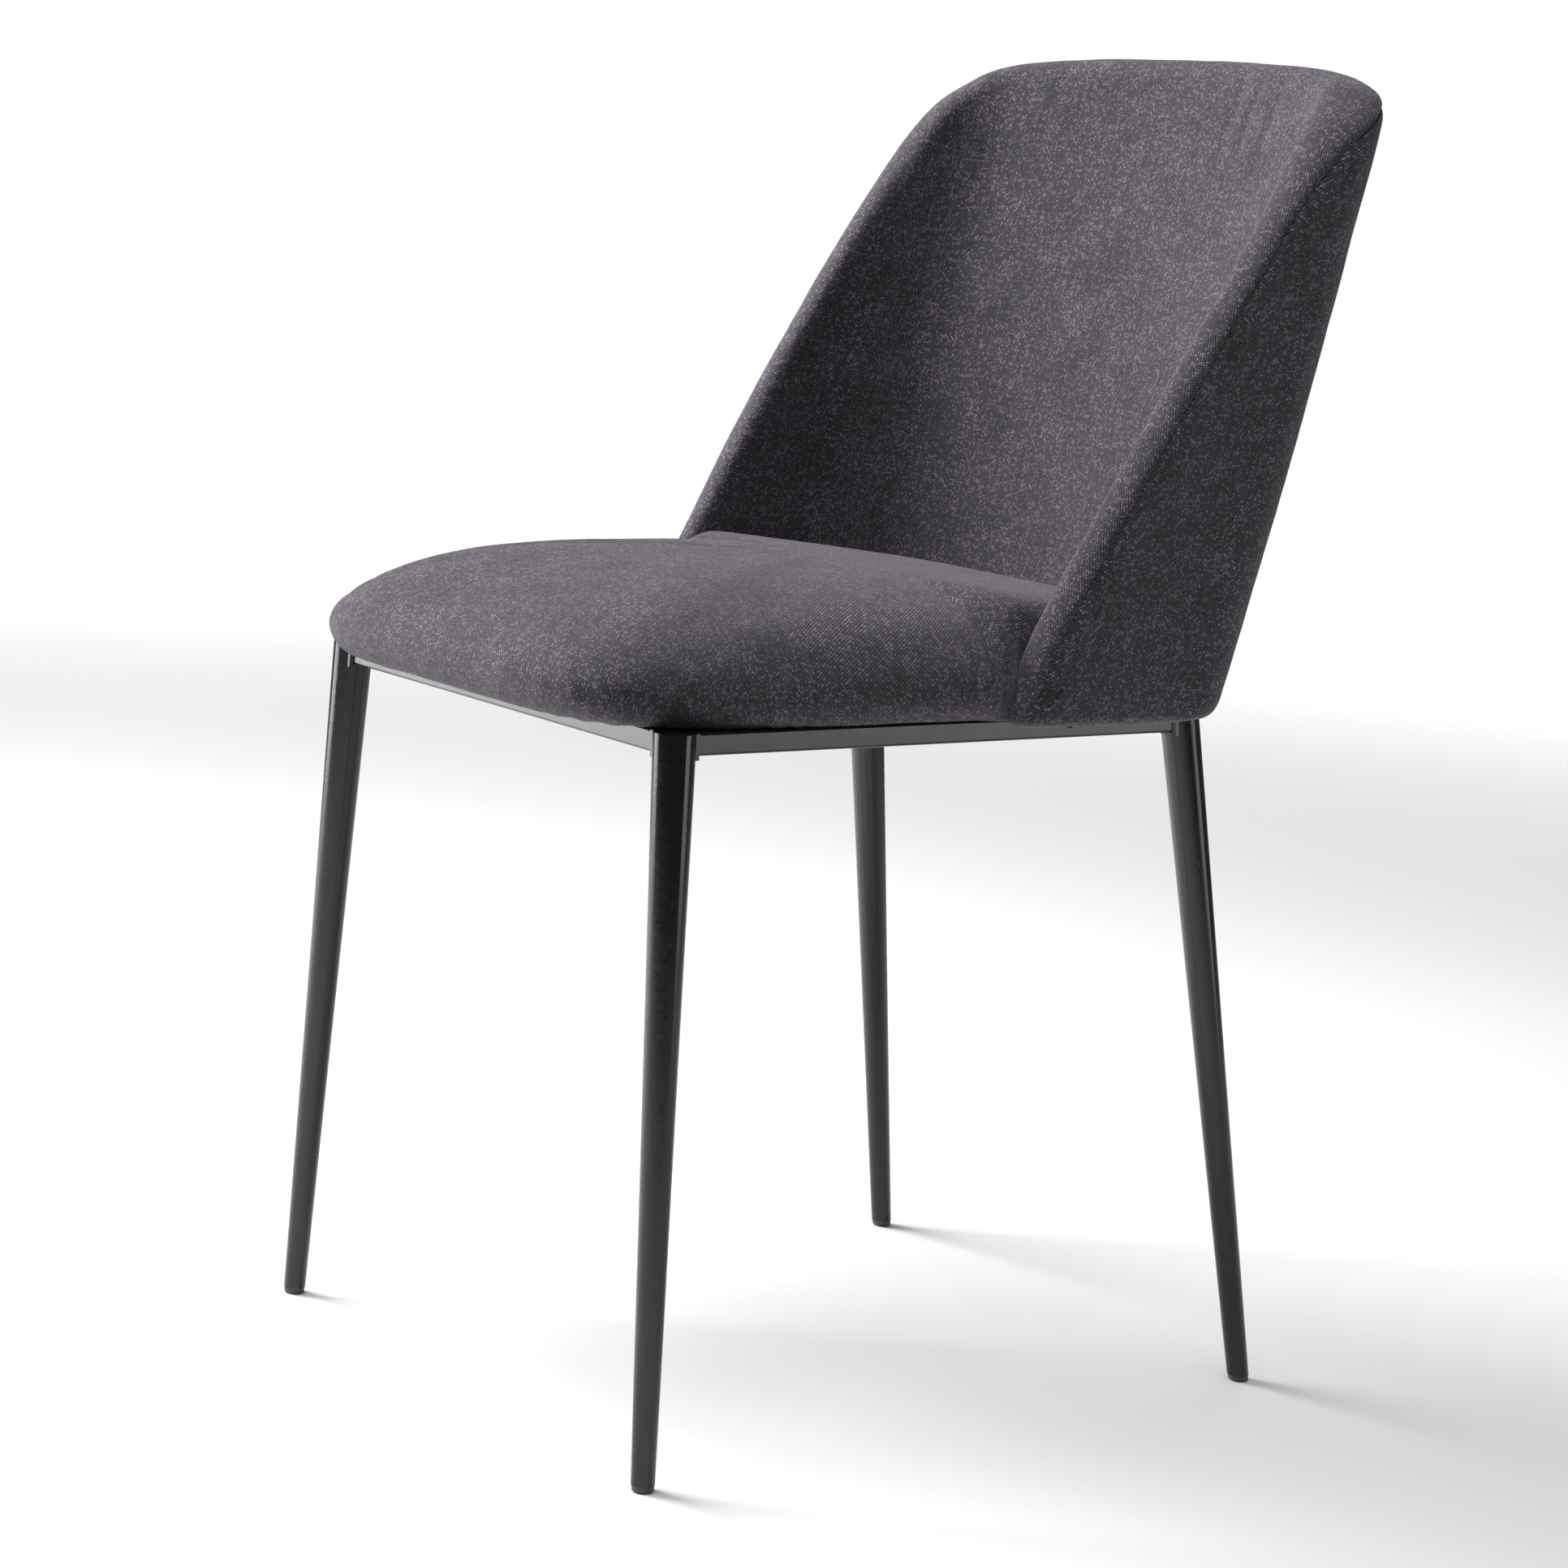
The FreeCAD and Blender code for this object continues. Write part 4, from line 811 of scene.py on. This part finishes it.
# %% Edge of the back
WING_EDGE = [(436.0, -12.0), (441.0, -9.0), (449.0, -5.0), (461.0, -0.8), (475.0, 3.6), (487.0, 9.0),
             (497.0, 14.4), (530.0, 32.2), (563.0, 50.6), (596.0, 69.6), (629.0, 89.2), (663.0, 110.0),
             (697.0, 131.4), (731.0, 153.4), (748.0, 164.8), (765.0, 177.2)]
CORNER = [(201.2, 191.0, 782.5), (196.6, 208.4, 800.3), (199.3, 236.1, 812.6), (189.2, 241.9, 818.2),
          (178.1, 247.0, 822.0), (165.9, 251.3, 824.7)]
CREST = [(153.5, 826.6), (140.0, 828.3), (127.0, 829.8), (100.0, 831.8), (70.0, 832.9), (35.0, 833.5),
         (0.0, 833.7)]
BOTTOM_LEVEL = 430.8


def around_of_width(x, level):
    bow = np.interp(level, BOW_LEVELS, BOW_SHARES)
    return float(np.interp(x / bow, middle_c[:, 0], lengths))


def around_of_place(x, y, level):
    """The distance round the C of the middle line's point nearest to a place."""
    bow = np.interp(level, BOW_LEVELS, BOW_SHARES)
    place = np.array([x / bow, y - BACK_LEAN * (level - RAIL_TOP)])
    return float(lengths[np.argmin(np.linalg.norm(middle_c - place, axis=1))])


wing_points = [(around_of(y * MM, z * MM), z * MM) for z, y in WING_EDGE]
wing_points += [(around_of_place(x * MM, y * MM, z * MM), z * MM) for x, y, z in CORNER]
crest_points = [(around_of_width(x * MM, z * MM), z * MM) for x, z in CREST]
foot_around = wing_points[0][0]
bottom_points = [(share * foot_around, BOTTOM_LEVEL * MM) for share in (0.0, 0.25, 0.5, 0.75, 0.9, 0.955)]
bottom_points.append((foot_around - 5 * MM, (BOTTOM_LEVEL + 0.8) * MM))
right_edge = spline(bottom_points + wing_points + crest_points, 900)
print("edge of the back from", np.round(right_edge[0], 3), "to", np.round(right_edge[-1], 3))

edge_steps = np.concatenate([[0], np.cumsum(np.linalg.norm(np.diff(right_edge, axis=0), axis=1))])
slopes = np.gradient(right_edge, axis=0)
angles = np.unwrap(np.arctan2(slopes[:, 1], slopes[:, 0]))
foot_corner = edge_steps[np.argmax(angles > math.radians(50))]
top_corner = edge_steps[np.argmax(angles > math.radians(128))]
print("corners at", round(foot_corner, 3), round(top_corner, 3), "of", round(edge_steps[-1], 3))

BACK_ACROSS = 148            # quads across the back's bottom and top
BACK_UP = 76                 # quads up each side


def edge_at(distance):
    return np.array([np.interp(distance, edge_steps, right_edge[:, k]) for k in (0, 1)])


marks = np.concatenate([
    np.linspace(0, foot_corner, BACK_ACROSS // 2 + 1)[:-1],
    np.linspace(foot_corner, top_corner, BACK_UP + 1)[:-1],
    np.linspace(top_corner, edge_steps[-1], BACK_ACROSS // 2 + 1),
])
right_side = np.array([edge_at(mark) for mark in marks])
back_loop = np.vstack([right_side, right_side[-2:0:-1] * np.array([-1, 1])])
back_out = outward_normals(back_loop)
print("ring of the back has", len(back_loop), "points")


# %% [markdown]
# The rounding of the edge, as (through, inset) pairs: how far through the shell, from its inner to
# its outer face, and how far inside the edge, in millimetres. On a wing the ridge is near the inner
# face and the cloth slants back to the seam. Along the top the edge is an even round. Underneath
# it is a tight one. The last few pairs lie on the rear cover, past the seam.

# %% Rings of the back
WING_ROUND = [(0, 16), (0, 11), (0.0, 7.5), (0.03, 4.4), (0.08, 2.1), (0.17, 0.6), (0.28, 0), (0.40, 0.2),
              (0.52, 0.8), (0.63, 1.8), (0.73, 3.1), (0.81, 4.6), (0.87, 6.4), (0.83, 8.6),
              (0.93, 9.8), (0.99, 13.5), (1.0, 21)]
TOP_ROUND = [(0, 17), (0, 12.5), (0.03, 8.6), (0.08, 5.3), (0.15, 2.8), (0.24, 1.1), (0.35, 0.2), (0.46, 0),
             (0.57, 0.2), (0.68, 0.8), (0.78, 1.9), (0.87, 3.5), (0.94, 5.6), (0.92, 8.0),
             (0.985, 10.4), (1.0, 14.5), (1.0, 20)]
FOOT_ROUND = [(0, 16), (0, 12), (0.0, 9.0), (0.02, 6.4), (0.05, 4.2), (0.10, 2.4), (0.18, 1.0), (0.28, 0.2),
              (0.40, 0), (0.50, 0), (0.60, 0), (0.72, 0.2), (0.82, 1.0), (0.90, 2.4),
              (0.95, 4.2), (0.99, 8.0), (1.0, 14)]
SEAM_RING = 13
top_share = smooth_step(0.30, 0.92, (back_loop[:, 1] - 0.70) / 0.12) * (1 - smooth_step(190 * MM, 270 * MM, np.abs(back_loop[:, 0])))
foot_share = 1 - smooth_step(432 * MM, 446 * MM, back_loop[:, 1])


def back_ring(number):
    """Through and inset of one ring at each point of the loop, blended between the three rounds."""
    wing, top, foot = (np.array(kind[number], float) for kind in (WING_ROUND, TOP_ROUND, FOOT_ROUND))
    mixed = wing + (top - wing) * top_share[:, None]
    return mixed + (foot - mixed) * foot_share[:, None]


def inset_loop(inset):
    """The back's edge moved in by an inset for each point, on the unrolled pattern."""
    moved = back_loop - back_out * np.asarray(inset)[:, None]
    for _ in range(4):
        moved = 0.5 * moved + 0.25 * (np.roll(moved, 1, axis=0) + np.roll(moved, -1, axis=0))
    return moved


flat_back_rings, back_rings = [], []
for number in range(len(WING_ROUND)):
    values = back_ring(number)
    flat = inset_loop(values[:, 1] * MM)
    flat_back_rings.append(flat)
    back_rings.append([shell_point(a, z, t) for (a, z), t in zip(flat, values[:, 0])])
print("back has", len(back_rings), "rings, the seam is number", SEAM_RING)


# %% Covers of the back
def open_cover(name, rings, ring_places, cap_grid, cap_places, outer):
    """A cover: rings with one end filled by a grid, as a skin one cloth thick."""
    verts = [tuple(p) for ring in rings for p in ring]
    places = [tuple(p) for ring in ring_places for p in ring]
    count = len(rings[0])
    faces = []
    for r in range(len(rings) - 1):
        for k in range(count):
            n = (k + 1) % count
            faces.append([r * count + k, (r + 1) * count + k, (r + 1) * count + n, r * count + n])
    first = (len(rings) - 1) * count if outer else 0
    index = np.zeros(cap_grid.shape[:2], int)
    for k, (i, j) in enumerate(loop_of_grid(BACK_ACROSS, BACK_UP)):
        index[i, j] = first + k
    for i in range(1, BACK_ACROSS):
        for j in range(1, BACK_UP):
            index[i, j] = len(verts)
            verts.append(tuple(cap_grid[i, j]))
            places.append(tuple(cap_places[i, j]))
    faces += grid_faces(index, outer)
    cover = new_piece(name, verts, faces)
    middle = min(cover.data.polygons, key=lambda face: abs(face.center.x) + abs(face.center.z - 0.65))
    if (middle.normal.y > 0) != outer:
        cover.data.flip_normals()
    add_cloth_map(cover, places)
    return cover


def wrapped_grid(flat_grid, through):
    """A grid of the unrolled pattern put in its place in space."""
    grid = np.zeros(flat_grid.shape[:2] + (3,))
    for i in range(flat_grid.shape[0]):
        for j in range(flat_grid.shape[1]):
            grid[i, j] = shell_point(flat_grid[i, j, 0], flat_grid[i, j, 1], through)
    return grid


inner_flat = coons(flat_back_rings[0], BACK_ACROSS, BACK_UP)
outer_flat = coons(flat_back_rings[-1], BACK_ACROSS, BACK_UP)
front_rings = back_rings[:SEAM_RING + 1]
front_places = ring_cloth_places(front_rings, flat_back_rings[:SEAM_RING + 1], back_out)
rear_rings = back_rings[SEAM_RING:]
rear_places = flat_back_rings[SEAM_RING:]
front_cover = open_cover("back_front_panel", front_rings, front_places,
                         wrapped_grid(inner_flat, 0.0), inner_flat, False)
rear_cover = open_cover("back_rear_panel", rear_rings, rear_places,
                        wrapped_grid(outer_flat, 1.0), outer_flat, True)
print("front panel", len(front_cover.data.polygons), "faces, rear panel", len(rear_cover.data.polygons))


# %% Back covers finished and declared
for cover in (front_cover, rear_cover):
    finish_soft(cover)
    uneven(cover, 0.45 * MM, 7.0, (top_pulls,) if cover is front_cover else ())
    make_active(cover)
    skin = cover.modifiers.new("cloth_thickness", "SOLIDIFY")
    skin.thickness = 1.2 * MM
    skin.offset = -1.0
    bpy.ops.object.modifier_apply(modifier=skin.name)
    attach(cover, "root")
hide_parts("back_front_cover", "back_inner_foam")
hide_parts("back_rear_cover", "back_outer_foam")


# %% [markdown]
# The dust cover is one thin sheet stapled flat under the seat. Its outline follows the seat's, and
# it is as large as its CAD solid. It is pulled tight, so it only ripples by a fraction of a
# millimetre.

# %% Dust cover
DUST_QUADS = 2 * SEAT_SIDE
DUST_THICKNESS = 0.5 * MM
dust_low, dust_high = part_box("seat_dust_cover")
outline_low, outline_high = seat_loop.min(axis=0), seat_loop.max(axis=0)
dust_low_plan, dust_high_plan = np.array(dust_low)[:2], np.array(dust_high)[:2]
dust_plan = dust_low_plan + (seat_loop - outline_low) / (outline_high - outline_low) * (
    dust_high_plan - dust_low_plan)
dust_grid = coons(dust_plan, DUST_QUADS, DUST_QUADS)
index = np.arange((DUST_QUADS + 1) ** 2).reshape(DUST_QUADS + 1, DUST_QUADS + 1)
verts = [(x, y, dust_low.z + 0.2 * MM * noise.noise(Vector((x, y, 0)) * 30))
         for x, y in dust_grid.reshape(-1, 2)]
dust_sheet = new_piece("seat_dust_sheet", verts, grid_faces(index))
make_active(dust_sheet)
skin = dust_sheet.modifiers.new("cloth_thickness", "SOLIDIFY")
skin.thickness = DUST_THICKNESS
bpy.ops.object.modifier_apply(modifier=skin.name)
dress(dust_sheet, dust_cloth)
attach(dust_sheet, "root")
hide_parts("seat_dust_cover")
